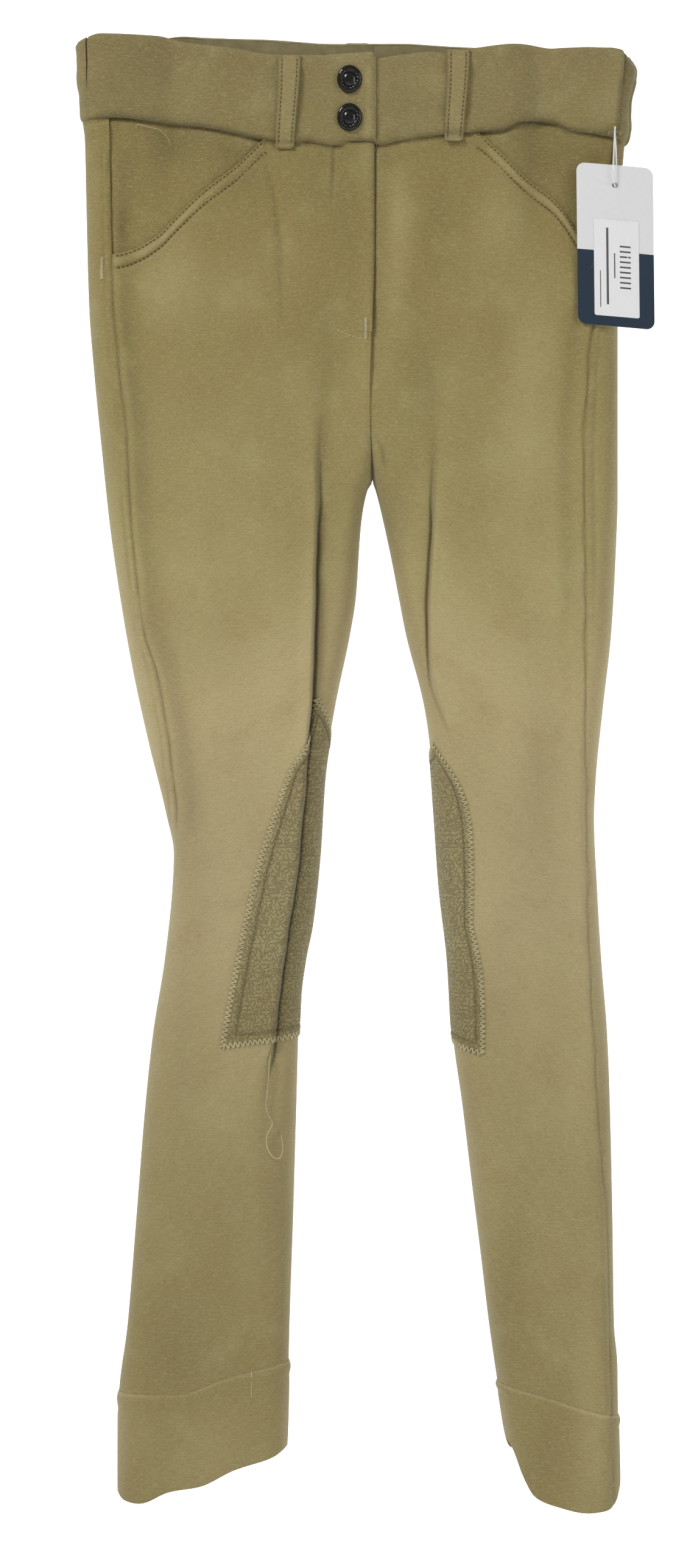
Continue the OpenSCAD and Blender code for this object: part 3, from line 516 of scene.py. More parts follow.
def tube(name, path, radius, material, sides=8, closed=False):
    """A round tube along points in millimetres."""
    p = np.asarray(path, float)
    t = np.roll(p, -1, 0) - np.roll(p, 1, 0) if closed else np.gradient(p, axis=0)
    t /= np.linalg.norm(t, axis=1, keepdims=True)
    side = np.cross(t, [0.31, 0.2, 0.93])  # any direction that no path here runs along
    side /= np.linalg.norm(side, axis=1, keepdims=True)
    up = np.cross(t, side)
    a = np.linspace(0, 2 * math.pi, sides, endpoint=False)
    ring = (np.cos(a)[None, :, None] * side[:, None] + np.sin(a)[None, :, None] * up[:, None]) * radius
    points = (p[:, None] + ring).reshape(-1, 3)
    if closed:
        faces = [list(f) for f in grid_faces(len(p) + 1, sides, wrap=True) % len(points)]
    else:
        faces = [list(f) for f in grid_faces(len(p), sides, wrap=True)]
        faces += [list(range(sides))[::-1], [len(points) - sides + k for k in range(sides)]]
    return mesh(name, points, [f[::-1] for f in faces], material)


def stitches(name, places, runs, ups, length, radius, material):
    """One short raised thread at each place, lying along runs on a surface that faces ups."""
    places, runs, ups = (np.asarray(v, float) for v in (places, runs, ups))
    runs = runs / np.linalg.norm(runs, axis=1, keepdims=True)
    across = np.cross(ups, runs)
    across /= np.maximum(np.linalg.norm(across, axis=1, keepdims=True), 1e-9)
    along = np.array([-0.5, -0.36, 0, 0.36, 0.5]) * length
    girth = np.array([0.3, 0.85, 1, 0.85, 0.3]) * radius
    sides = 6
    a = np.linspace(0, 2 * math.pi, sides, endpoint=False)
    one = np.array([(s, g * math.cos(c), g * math.sin(c)) for s, g in zip(along, girth) for c in a])
    points = (places[:, None] + one[None, :, :1] * runs[:, None] + one[None, :, 1:2] * across[:, None]
              + one[None, :, 2:] * ups[:, None]).reshape(-1, 3)
    ring = [list(f) for f in grid_faces(len(along), sides, wrap=True)]
    ring += [list(range(sides))[::-1], [len(one) - sides + k for k in range(sides)]]
    faces = [[v + len(one) * i for v in f] for i in range(len(places)) for f in ring]
    return mesh(name, points, faces, material)


def spaced(path, pitch):
    """Points about pitch apart along a polyline, and the direction at each."""
    p = np.asarray(path, float)
    along = np.concatenate([[0], np.cumsum(np.linalg.norm(np.diff(p, axis=0), axis=1))])

    def at(q):
        return np.stack([np.interp(q, along, p[:, k]) for k in range(p.shape[1])], -1)

    here = np.arange(pitch / 2, along[-1], pitch)
    return at(here), at(np.minimum(here + pitch / 4, along[-1])) - at(np.maximum(here - pitch / 4, 0))


def on_cloth(side, x, z, back=False):
    """Point and outward normal of a leg's face at a sideways place and height."""
    x, z = np.asarray(x, float), np.asarray(z, float)

    def at(dx, dz):
        return face(side, z + dz, share_at(side, z + dz, x + dx, back), back)

    n = np.cross(at(0.6, 0) - at(-0.6, 0), at(0, 0.6) - at(0, -0.6))
    n /= np.linalg.norm(n, axis=-1, keepdims=True)
    return at(0, 0), np.where((n[..., 1:2] > 0) == back, n, -n)


def sewn(name, side, path, material, pitch=2.7, length=2.1, radius=0.28, back=False, lift=0.1):
    """A row of stitches along (x, z) points on a leg's face."""
    flat, run = spaced(path, pitch)
    places, ups = on_cloth(side, flat[:, 0], flat[:, 1], back)
    ahead, _ = on_cloth(side, flat[:, 0] + run[:, 0] * 0.1, flat[:, 1] + run[:, 1] * 0.1, back)
    return stitches(name, places + ups * lift, ahead - places, ups, length, radius, material)


# ---------------------------------------------------------------- materials


class Nodes:
    """A material's node tree, with a few shorthands."""

    def __init__(self, name, rough=0.9, metal=0.0):
        self.material = bpy.data.materials.new(name)
        self.material.use_nodes = True
        self.tree = self.material.node_tree
        self.shader = self.tree.nodes["Principled BSDF"]
        self.shader.inputs["Roughness"].default_value = rough
        self.shader.inputs["Metallic"].default_value = metal

    def add(self, kind, **inputs):
        made = self.tree.nodes.new(kind)
        for key, value in inputs.items():
            if hasattr(made, key) and key not in made.inputs:
                setattr(made, key, value)
            else:
                self.feed(made.inputs[key.replace("_", " ")], value)
        return made

    def feed(self, socket, value):
        if isinstance(value, bpy.types.NodeSocket):
            self.tree.links.new(value, socket)
        else:
            socket.default_value = value

    def math(self, operation, a, b=0.0):
        made = self.tree.nodes.new("ShaderNodeMath")
        made.operation = operation
        self.feed(made.inputs[0], a)
        self.feed(made.inputs[1], b)
        return made.outputs[0]

    def mix(self, share, a, b):
        made = self.tree.nodes.new("ShaderNodeMix")
        made.data_type = "RGBA"
        self.feed(made.inputs[0], share)
        self.feed(made.inputs[6], a)
        self.feed(made.inputs[7], b)
        return made.outputs[2]

    def noise(self, vector, scale, detail=2.0, rough=0.5):
        made = self.add("ShaderNodeTexNoise", Scale=scale, Detail=detail, Roughness=rough)
        self.feed(made.inputs["Vector"], vector)
        return made.outputs["Fac"]

    def ramp(self, value, low, high):
        made = self.tree.nodes.new("ShaderNodeMapRange")
        self.feed(made.inputs["Value"], value)
        made.inputs["From Min"].default_value = low
        made.inputs["From Max"].default_value = high
        return made.outputs["Result"]

    def bump(self, height, distance, strength=1.0, over=None):
        made = self.add("ShaderNodeBump", Strength=strength, Distance=distance, Height=height)
        if over is not None:
            self.feed(made.inputs["Normal"], over)
        return made.outputs["Normal"]

    def tint(self, colour, pattern, low, high, most, tone):
        """Mixes a tone in where a pattern runs from low to high, up to the share called most."""
        return self.mix(self.math("MULTIPLY", self.ramp(pattern, low, high), most), colour, rgb(*tone))

    def drawn_out(self, vector, scale):
        return self.add("ShaderNodeMapping", Vector=vector, Scale=scale).outputs["Vector"]

    def coords(self, kind="UV"):
        return self.add("ShaderNodeTexCoord").outputs[kind]

    def finish(self, colour, normal=None):
        self.feed(self.shader.inputs["Base Color"], colour)
        if normal is not None:
            self.feed(self.shader.inputs["Normal"], normal)
        return self.material


def rgb(r, g, b):
    """A display colour, 0 to 255, as the linear colour that Blender uses."""
    return tuple(((c / 255 + 0.055) / 1.055) ** 2.4 if c > 10 else c / 3294 for c in (r, g, b)) + (1.0,)


def scaled(colour, times):
    return tuple(min(1.0, c * times) for c in colour[:3]) + (1.0,)


TONE_AND_LIGHT_HEIGHT = 900  # the height, down from the hanging point, that the twill's tones run over: partly its own fading, partly painted light


def twill(name, tones, grip=False):
    """Brushed knit twill: tones are (height, colour) stops down the garment, partly its own fading and partly
    painted light. A grip has a printed pattern.
    """
    m = Nodes(name, 0.92)
    uv = m.coords()
    height = m.ramp(m.add("ShaderNodeSeparateXYZ", Vector=uv).outputs["Y"], -TONE_AND_LIGHT_HEIGHT * MM, 0.0)
    drift = m.math("MULTIPLY", m.math("SUBTRACT", m.noise(uv, 7, 3, 0.5), 0.5), 0.16)
    ramp = m.add("ShaderNodeValToRGB")
    m.feed(ramp.inputs["Fac"], m.math("ADD", height, drift))
    stops = ramp.color_ramp.elements
    while len(stops) < len(tones):
        stops.new(0.5)
    for stop, (z, tone) in zip(stops, sorted(tones)):
        stop.position = 1 + z / TONE_AND_LIGHT_HEIGHT
        stop.color = rgb(*tone)
    # A per-point value darkens the cloth toward dark olive above 0, as painted shade and stains, and lightens
    # it toward pale khaki below 0, as painted highlights
    painted_light_and_wear = m.add("ShaderNodeAttribute", attribute_name="painted_light_and_wear").outputs["Fac"]
    colour = m.mix(m.ramp(painted_light_and_wear, 0.0, 1.0), ramp.outputs["Color"], rgb(72, 60, 26))
    colour = m.mix(m.ramp(painted_light_and_wear, 0.0, -1.0), colour, rgb(208, 196, 152))
    worn = m.noise(uv, 30, 4, 0.6)
    slub = m.noise(m.drawn_out(uv, (0.6, 2.2, 1.0)), 900, 4, 0.75)
    heather = m.noise(m.drawn_out(uv, (0.45, 2.4, 1.0)), 380, 3, 0.6)
    fleck = m.noise(uv, 1100, 2, 0.5)
    for pattern, low, high, most, tone in (
            (worn, 0.52, 0.72, 0.24, (124, 98, 56)), (worn, 0.46, 0.3, 0.2, (158, 154, 108)),
            (slub, 0.44, 0.66, 0.24, (184, 172, 128)), (slub, 0.5, 0.32, 0.24, (96, 84, 46)),
            (heather, 0.52, 0.7, 0.14, (190, 178, 134)), (heather, 0.48, 0.3, 0.14, (92, 80, 42)),
            (fleck, 0.56, 0.7, 0.2, (90, 78, 42))):
        colour = m.tint(colour, pattern, low, high, most, tone)
    ribs = m.add("ShaderNodeTexWave", bands_direction="DIAGONAL", Scale=330.0, Distortion=1.6, Detail=2.0,
                 Vector=uv).outputs["Fac"]
    soft = m.bump(ribs, 0.00016, 0.6)
    soft = m.bump(m.noise(uv, 1500, 3, 0.6), 0.00012, 0.5, soft)
    soft = m.bump(m.noise(uv, 90, 2, 0.5), 0.0006, 0.4, soft)
    if grip:
        curl = m.math("ABSOLUTE", m.math("SUBTRACT", m.noise(uv, 400, 0.6, 0.4), 0.5))
        colour = m.tint(colour, curl, 0.07, 0.015, 0.34, (84, 74, 42))
        soft = m.bump(m.ramp(curl, 0.0, 0.07), 0.0006, 0.8, soft)
    m.shader.inputs["Sheen Weight"].default_value = 0.15
    m.shader.inputs["Sheen Roughness"].default_value = 0.6
    m.shader.inputs["Specular IOR Level"].default_value = 0.15
    return m.finish(colour, soft)


def plain_cloth(name, colour, rib=900.0, rough=0.9):
    """A finer cloth, tape or thread with a simple weave."""
    m = Nodes(name, rough)
    at = m.coords("Object")
    shade = m.noise(at, 160, 3, 0.6)
    wave = m.add("ShaderNodeTexWave", bands_direction="Z", Scale=rib, Distortion=0.6, Vector=at)
    tone = m.mix(m.ramp(shade, 0.3, 0.7), scaled(colour, 0.82), scaled(colour, 1.14))
    m.shader.inputs["Sheen Weight"].default_value = 0.2
    return m.finish(tone, m.bump(wave.outputs["Fac"], 0.0002, 0.5))


def metal(name, colour, rough=0.28, scratch=0.25):
    """Bare metal, duller where it is scratched."""
    m = Nodes(name, rough, 1.0)
    at = m.coords("Object")
    worn = m.noise(at, 420, 4, 0.65)
    duller = m.math("MULTIPLY", m.ramp(worn, 0.4, 0.8), scratch)
    m.feed(m.shader.inputs["Roughness"], m.math("ADD", rough, duller))
    tone = m.mix(m.ramp(worn, 0.35, 0.75), colour, scaled(colour, 0.7))
    return m.finish(tone, m.bump(worn, 0.00006, 0.4))


def paper(name, colour, rough=0.5):
    """Card or paper with a faint fibre."""
    m = Nodes(name, rough)
    at = m.coords("Object")
    fibre = m.noise(at, 900, 3, 0.6)
    tone = m.mix(m.math("MULTIPLY", m.ramp(fibre, 0.3, 0.7), 0.5), colour, scaled(colour, 0.93))
    return m.finish(tone, m.bump(fibre, 0.00004, 0.3))


def clear_plastic(name):
    """Cloudy clear plastic."""
    m = Nodes(name, 0.18)
    cloudy = m.noise(m.coords("Object"), 200, 2, 0.5)
    m.shader.inputs["Alpha"].default_value = 0.55
    return m.finish(m.mix(cloudy, rgb(235, 238, 240), rgb(212, 216, 220)))


# These tones are partly the cloth's own fading and partly painted light: the leg is lightest at the thigh and
# knee, where the light falls most, and darker toward the waist and the cuffs; the patch is lightest at its
# middle
TWILL = twill("khaki_twill", [(-890, (130, 117, 75)), (-800, (131, 118, 76)), (-700, (136, 124, 83)),
                              (-610, (147, 134, 94)), (-500, (158, 144, 106)), (-400, (161, 146, 105)),
                              (-290, (141, 129, 83)), (-200, (130, 117, 70)), (-120, (122, 108, 61)),
                              (-40, (119, 106, 60))])
BAND_TWILL = twill("waistband_twill", [(-70, (114, 103, 61)), (0, (117, 105, 66))])
PATCH = twill("knee_grip", [(-620, (122, 111, 70)), (-520, (138, 128, 90)), (-420, (134, 123, 85))], True)
LINING = plain_cloth("facing_cloth", rgb(126, 115, 80))
POCKETING = plain_cloth("pocketing", rgb(190, 182, 152), 700.0)
ELASTIC = plain_cloth("elastic", rgb(214, 208, 190), 420.0)
LABEL = plain_cloth("label_cloth", rgb(222, 222, 216), 1400.0, 0.6)
THREAD = plain_cloth("sewing_thread", rgb(118, 104, 62), 2600.0, 0.75)
DARK_THREAD = plain_cloth("dark_thread", rgb(74, 62, 18), 2600.0, 0.95)  # the topstitching, dark olive: partly the thread's own colour, partly painted shade of the dimples it is sunk in
PALE_THREAD = plain_cloth("pale_thread", rgb(186, 174, 132), 2600.0, 0.7)
EDGE_THREAD = plain_cloth("edge_thread", rgb(180, 168, 124), 2600.0, 0.7)
TAPE = plain_cloth("zip_tape", rgb(122, 111, 74), 1500.0)
BRASS = metal("zip_brass", rgb(196, 164, 96))
GUNMETAL = metal("snap_gunmetal", rgb(58, 57, 56), 0.14, 0.16)
CARD_WHITE = paper("tag_board", rgb(203, 203, 203), 0.35)
CARD_NAVY = paper("tag_board_navy", rgb(18, 38, 54), 0.35)
STICKER = paper("tag_paper", rgb(209, 209, 209), 0.55)
RULE_GREY = paper("tag_rule", rgb(70, 70, 76), 0.6)
PLASTIC = clear_plastic("tag_plastic")


# ---------------------------------------------------------------- pieces of the legs and seat

SPLIT = -394  # a panel's upper piece ends and its lower one starts here, mid-thigh
SEAM_TO_FOLD = -500  # below this the right leg's side seam lies on the side fold itself
FOLD_SHARE = 0.9995  # a back panel starts no nearer the side fold than this, so that it has no flat faces
FOOT = -800  # a panel's last level row, a little above the cuff seam
CUFF_LAP = 4  # how far a panel runs down behind the cuff
CLOTH_T = 1.3
FRONTWARD, BACKWARD = (0, -1, 0), (0, 1, 0)
CUFF_SEAM = {
    RIGHT: curve((-150, -815), (-110, -816), (-78, -806), (-38, -796)),
    LEFT: curve((70, -806), (110, -816), (134, -824), (162, -831)),
}
HEM_FRONT = {
    RIGHT: curve(
        (-145, -876), (-141, -879.5), (-131, -881), (-113, -874), (-95, -871), (-74, -861), (-50, -853),
        (-43, -849)),
    LEFT: curve(
        (88, -840), (94, -850), (100, -866), (106, -876), (118, -881.5), (139, -886), (150, -884.5),
        (155, -881), (158, -873)),
}
HEM_BACK = {
    RIGHT: curve((-145, -874), (-131, -877), (-113, -871), (-74, -857), (-50, -850), (-43, -847)),
    LEFT: curve((88, -848), (94, -853), (108, -866), (139, -878), (150, -879), (158, -871)),
}
TUCK = 3  # how far a panel's top edge runs up behind the waistband


def box_mm(node):
    """Lowest and highest corner of a CAD node, in millimetres."""
    return (np.array(corner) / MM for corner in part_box(node))


def panel_top(side, x):
    """Upper edge of a front panel: the waist seam, then the pocket's mouth down to the side seam."""
    past = side * (x - POCKET_START[side]) > 0
    return np.where(past, POCKET[side](x), band_seam(x) + TUCK)


def place(obj, where, *nodes):
    """Puts a piece on a body in place of CAD nodes; a piece given as (crease, side), across the hip or knee
    crease, only has its transform baked in, and its side is not used.
    """
    if nodes:
        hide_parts(*nodes)
    if isinstance(where, str):
        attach(obj, where)
        return
    crease, side = where
    if crease == "hip":
        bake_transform(obj)
    else:
        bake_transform(obj)


def rows_between(top, low, step=3.0):
    """Heights from top to low, about one step apart."""
    return np.linspace(top, low, max(2, int(round(abs(top - low) / step)) + 1))


def seam_share(side, z):
    """How far round the front of a leg its side seam lies."""
    share = share_at(side, z, SIDE_SEAM[side](z))
    return np.where(z < SEAM_TO_FOLD, 1.0, share) if side == RIGHT else share


def rows_above(top, z, count):
    """Heights that lead each column from its own top edge down to a level row."""
    return top[None] + (z - top[None]) * np.linspace(0, 1, count)[:-1, None]


def rows_below(side, last):
    """Heights that lead each column from the last level row down behind the cuff."""
    low = CUFF_SEAM[side](last[:, 0]) - CUFF_LAP
    return FOOT + (low[None] - FOOT) * np.linspace(0, 1, 9)[1:, None]


def front_grid(side):
    """Outer points of a front panel, from its top edge to the cuff seam, in columns that follow the fold."""
    level = np.concatenate([rows_between(-150, FLY_FOOT + 0.1), rows_between(FLY_FOOT, SPLIT),
                            rows_between(SPLIT, FOOT)[1:]])
    j_in, j_out = eased(38, 0.85), eased(60, 0.7)  # the columns crowd together at the fold

    def columns(z):
        start = np.where(z > FLY_FOOT, CREASE(z), inner(side, z)) if side == RIGHT else inner(side, z)
        f0, f1, f2 = share_at(side, z, start), share_at(side, z, FOLD[side](z)), seam_share(side, z)
        return np.concatenate([f0 + (f1 - f0) * j_in[None], f1 + (f2 - f1) * j_out[None, 1:]], axis=1)

    lower = face(side, level[:, None], columns(level[:, None]))
    high = np.linspace(level[0], -40, 60)
    rows = columns(high[:, None])
    top = panel_top(side, lower[0, :, 0])
    for _ in range(4):  # each column's sideways place drifts with height, so its top is found in a few steps
        guide = np.array([np.interp(top[k], high, rows[:, k]) for k in range(len(top))])
        top = panel_top(side, face(side, top, guide)[:, 0])
    z = rows_above(top, level[0], 34)
    guide = np.stack([np.interp(z[:, k], high, rows[:, k]) for k in range(z.shape[1])], 1)
    ending = face(side, rows_below(side, lower[-1]), columns(np.array([[level[-1]]])))
    grid = np.concatenate([face(side, z, guide), lower, ending])
    return grid, len(z) + int(np.argmin(np.abs(level - SPLIT)))


def back_grid(side):
    """Outer points of a back panel: from the side seam in front, round the fold, to its inner edge behind."""
    level = np.concatenate([rows_between(-62, SPLIT), rows_between(SPLIT, FOOT)[1:]])
    wrap, across = np.linspace(0, 1, 15), eased(60, 0.3)[1:]
    fore = len(wrap)  # the first columns, which lie in front

    def points(start, z, behind_z):
        start = np.minimum(start, FOLD_SHARE)
        return np.concatenate([face(side, z, start + (1 - start) * wrap[None]),
                               face(side, behind_z, 1 - across[None] + 0 * behind_z, True)], axis=1)

    body = points(seam_share(side, level[:, None]), level[:, None], level[:, None])
    xs = body[0, :, 0]
    top = np.where(np.arange(len(xs)) < fore, band_seam(xs), back_seam(xs)) + TUCK
    z = rows_above(top, level[0], 7)
    upper = points(seam_share(side, z[:, :fore]), z[:, :fore], z[:, fore:])
    z = rows_below(side, body[-1])
    ending = points(seam_share(side, level[-1:]), z[:, :fore], z[:, fore:])
    return np.concatenate([upper, body, ending]), len(upper) + int(np.argmin(np.abs(level - SPLIT)))


def leg_panel(name, side, grid, split, toward, nodes, n=None):
    """A panel's two pieces, which meet mid-thigh with the same points and normals."""
    if n is None:
        n, _ = facing(grid, toward)
    uv = cloth_uv(grid)
    # The fronts take painted shade and highlights with their stains; the backs a slight even darkening
    painted_light_and_wear = np.where(grid[..., 1] < 0, painted_light_and_soil(side, grid[..., 0], grid[..., 2]), 0.05)
    for tail, rows, crease, stands_for in (("_upper", slice(0, split + 1), "hip", nodes[:1]),
                                           ("_lower", slice(split, None), "knee", nodes[1:])):
        made = shell(name + tail, grid[rows], CLOTH_T, TWILL, toward, n[rows], uv[rows], painted_light_and_wear[rows])
        place(made, (crease, side), *stands_for)


def cuff(side):
    """A turned-up cuff: cloth from the cuff seam down to the hem, round it, and back up inside."""
    outside, turn, inside = 30, 4, 16  # rows in each part
    across = np.concatenate([eased(44, 0.3), 1 + eased(44, 0.3)[1:-1]])
    back = across > 1
    f = np.where(back, 2 - across, across)

    def ring(z):
        return np.where(back[:, None], face(side, z, f, True), face(side, z, f))

    def level(front, behind, start):
        """Height of an edge all round: it depends on the sideways place, which drifts with height."""
        z = np.full(len(f), start)
        for _ in range(6):
            x = ring(z)[:, 0]
            z = front(x) + (behind(x) - front(x)) * np.where(back, smooth(0, 0.1, f) * smooth(1, 0.9, f), 0)
        return z

    top = level(CUFF_SEAM[side], CUFF_SEAM[side], -810.0)
    hem = level(HEM_FRONT[side], HEM_BACK[side], -870.0)
    v = eased(outside, 0.4)
    lift = 0.75 - 0.75 * bell(v, 0.025) + 0.55 * bell(v - 0.09, 0.05) - 0.25 * bell(v - 0.19, 0.03)
    profile = list(zip(v, lift - 0.3 * v ** 8))
    around = np.linspace(0.7, math.pi - 0.4, turn)
    profile += [(1 + 0.014 * math.sin(a), 0.45 - 1.3 * a / math.pi) for a in around]
    profile += [(q, -1.0 - 0.4 * (1 - q)) for q in np.linspace(0.97, 0.04, inside)]
    share, lift = np.array(profile).T[..., None]
    rows = np.array([ring(top + (hem - top) * q) for q in share[:, 0]])
    shown = rows[:outside]
    n = np.cross(np.roll(shown, -1, axis=1) - np.roll(shown, 1, axis=1), np.gradient(shown, axis=0))
    n /= np.linalg.norm(n, axis=-1, keepdims=True)
    n *= np.sign(((shown - shown.mean(axis=1, keepdims=True)) * n).sum())
    n = np.concatenate([n, np.repeat(n[-1:], turn, 0), n[np.linspace(outside - 1, 1, inside).astype(int)]])
    points = rows + n * lift[..., None]
    count, cols = points.shape[:2]
    first = np.arange(cols)
    last, after = (count - 1) * cols + first, (first + 1) % cols
    faces = np.concatenate([grid_faces(count, cols, wrap=True),
                            np.stack([last, (count - 1) * cols + after, after, first], -1)])
    # Painted shade and stains from the leg, and a painted highlight along the raised seam at the cuff's top
    dark = painted_light_and_soil(side, points[..., 0], points[..., 2]) - 0.2 * bell(share - 0.02, 0.02)
    if side == RIGHT:
        faces = faces[:, ::-1]
    name, uv = NAME[side], cloth_uv(points).reshape(-1, 2)
    obj = mesh("cuff_cloth_" + name, points.reshape(-1, 3), faces, TWILL, uv, painted_light_and_wear=dark)
    place(obj, name + "_shin", "cuff_" + name)


# The patches' front edges, as (height, sideways place)
PATCH_EDGE = {
    RIGHT: curve(
        (-396, -24), (-412, -27.2), (-429, -31.5), (-442, -39.5), (-467, -48.7), (-496, -58.2), (-535, -67.3),
        (-573, -75), (-608, -81.3)),
    LEFT: curve(
        (-425, 45), (-435.5, 51.2), (-449, 59.3), (-464, 64.8), (-480, 67.3), (-505, 68), (-532, 67.4),
        (-545, 69.9), (-563, 73.2), (-586, 74.6), (-612, 74.6)),
}
# The patches' upper and lower edges: their heights at the front edge and at the inseam
PATCH_TOP = {RIGHT: (-398, -424), LEFT: (-426, -433)}
PATCH_LOW = {RIGHT: (-607, -599), LEFT: (-611, -603)}


def patch_points(side, c, v):
    """Points of a knee patch: c is -1 at its front edge, 0 at the inseam and 1 at its back edge."""
    reach = np.abs(c)
    top, low = (edge[side][1] + (edge[side][0] - edge[side][1]) * reach for edge in (PATCH_TOP, PATCH_LOW))
    z = top + (low - top) * v
    front, behind = (face(side, z, share_at(side, z, PATCH_EDGE[side](z), back) * reach, back)
                     for back in (False, True))
    return np.where((c > 0)[..., None], behind, front)


def knee_patch(side):
    """A grip patch round the inside of the knee, with a zigzag over its edge and stitches inside it."""
    name = "knee_patch_" + NAME[side]
    rows, cols = 170, 121
    c = np.linspace(-1, 1, cols)[None] + np.zeros((rows, 1))
    v = np.linspace(0, 1, rows)[:, None] + np.zeros((1, cols))
    base = patch_points(side, c, v)
    n, _ = facing(base, (-side, 0, 0))
    border = np.minimum(np.minimum(v, 1 - v) * 200, (1 - np.abs(c)) * 45)  # about how far in from the edge
    height = 0.9 * smooth(0, 1.6, border) + 0.15
    height = height - 0.45 * bell(border - 5.6, 0.9) + 0.25 * bell(border - 3.4, 1.2)
    grid = base + n * height[..., None]
    # Painted shade in the groove inside the patch's border, and on the right leg along the fold and over its
    # recessed inner strip
    d = side * (grid[..., 0] - FOLD[side](grid[..., 2])) + 60 * (c > 0)
    fold = (side == RIGHT) * (0.5 * bell(d + 1, 1.4) + 0.12 * smooth(1, -3, d))
    dark = 0.4 * bell(border - 5.6, 1.1) + fold
    obj = shell(name, grid, 0.7, PATCH, (-side, 0, 0), uv=cloth_uv(base), painted_light_and_wear=dark)
    place(obj, ("knee", side), "knee_patch_upper_" + NAME[side], "knee_patch_lower_" + NAME[side])
    flat_base, flat_n = base.reshape(-1, 3), n.reshape(-1, 3)
    down, over = np.linspace(0, 1, 200), np.linspace(-1, 1, 120)
    for tail, in_c, in_v, pitch in (("_edge", 0.0, 0.0, 1.5), ("_stitch", 0.12, 0.027, 2.6)):
        far, high, tall = 1 - in_c, 1 - in_v, 1 - 2 * in_v
        path = np.concatenate([patch_points(side, -far + 0 * down, in_v + tall * down),
                               patch_points(side, over * far, high + 0 * over),
                               patch_points(side, far + 0 * down, high - tall * down),
                               patch_points(side, -over * far, in_v + 0 * over)])
        path = path[np.concatenate([[True], np.linalg.norm(np.diff(path, axis=0), axis=1) > 0.02])]
        places, runs = spaced(path, pitch)
        ups = np.array([flat_n[np.argmin(((flat_base - p) ** 2).sum(1))] for p in places])
        if tail == "_stitch":
            thread = stitches(name + tail, places + ups * 0.85, runs, ups, 2.0, 0.26, THREAD)
        else:
            runs = runs / np.linalg.norm(runs, axis=1, keepdims=True)
            zigzag = np.where(np.arange(len(places)) % 2, 1, -1)[:, None] * 0.42
            runs = np.cross(ups, runs) + zigzag * runs
            thread = stitches(name + tail, places + ups * 0.6, runs, ups, 4.4, 0.6, EDGE_THREAD)
        place(thread, ("knee", side))


def pocket(side):
    """The hip corner that shows in a pocket's mouth, its bag, and the mouth's topstitching."""
    name = NAME[side]
    share, v = eased(44, 0.3)[None], np.linspace(0, 1, 34)[:, None]
    begin = POCKET_START[side] - side * 10

    def corner(end):
        """Sideways places and heights from the waist seam to 14 below the mouth, out to an end."""
        x = begin + (end - begin) * share
        low = np.where(side * (x - POCKET_START[side]) > 0, POCKET[side](x), band_seam(x) - 2) - 14
        return x, band_seam(x) + TUCK + (low - band_seam(x) - TUCK) * v

    _, z = corner(SIDE_SEAM[side](np.array(-90.0)))
    x, z = corner(SIDE_SEAM[side](z[:, -1:]) + side * 4)
    grid = face(side, z, share_at(side, z, x))
    grid[..., 1] += CLOTH_T + 0.6
    # Painted shade and stains from the leg, and more painted shade over this corner, which lies back inside
    # the pocket's mouth
    dark = painted_light_and_soil(side, grid[..., 0], grid[..., 2]) + 0.14
    obj = shell("pocket_corner_" + name, grid, 1.1, TWILL, FRONTWARD, painted_light_and_wear=dark)
    place(obj, "seat", "pocket_facing_" + name)

    lo, hi = box_mm("pocket_bag_" + name)
    bx, bz = np.meshgrid(eased(26, 0.4), eased(34, 0.4))
    xs = lo[0] + 3 + (hi[0] - lo[0] - 6) * bx
    ceiling = np.minimum(POCKET[side](xs), band_seam(xs)) - 5
    zs = ceiling + (lo[2] + 3 - ceiling) * bz
    swell = np.sin(math.pi * bx) * np.sin(math.pi * np.clip(bz, 0, 0.94))
    bag = np.stack([xs, lo[1] + 2.6 - 1.4 * swell + 0.3 * small_waves[side](xs, zs), zs], -1)
    made = shell("pocket_lining_" + name, bag, 2.6, POCKETING, FRONTWARD)
    place(made, "seat", "pocket_bag_" + name)

    xs = np.linspace(POCKET_START[side] - side * 2, SIDE_SEAM[side](-135.0) - side * 3, 60)
    for k, (drop, lift) in enumerate(((1.7, 0.16), (9.0, 0.6))):
        line = np.stack([xs, POCKET[side](xs) - drop], -1)
        line = line[line[:, 1] < band_seam(line[:, 0]) - 1]
        row = sewn(f"pocket_stitch_{name}_{k + 1}", side, line, DARK_THREAD, 2.7, 1.6, 0.34, lift=lift)
        place(row, "seat")


def fly_placket(panel, normals):
    """The flap over the zip, from the crease that it folds about, with the panel's own rows and normals."""
    count = int((panel[:, 0, 2] > FLY_FOOT).sum())
    z = panel[:count, :1, 2]
    share = eased(26, 0.3)[None]
    x = CREASE(z) + (centre_line(z) + 0.7 - CREASE(z)) * share
    grid = on_front(RIGHT, x, z + 0 * x)
    grid[..., 1] -= 0.9 * smooth(0.25, 0.9, share) - 0.5 * smooth(0.93, 1, share)
    grid[:, 0] = panel[:count, 0]
    both, _ = facing(np.concatenate([panel[:count, :0:-1], grid], axis=1), FRONTWARD)
    edge = panel.shape[1] - 1
    normals[:count, 0] = both[:, edge]
    uv = cloth_uv(grid) * (-1, 1)
    # Painted shade, painted highlights and stains from the leg, on the flap
    dark = painted_light_and_soil(RIGHT, grid[..., 0], grid[..., 2])
    obj = shell("fly_cloth", grid, 1.4, TWILL, FRONTWARD, both[:, edge:], uv, dark)
    place(obj, "fly_flap", "fly_placket")


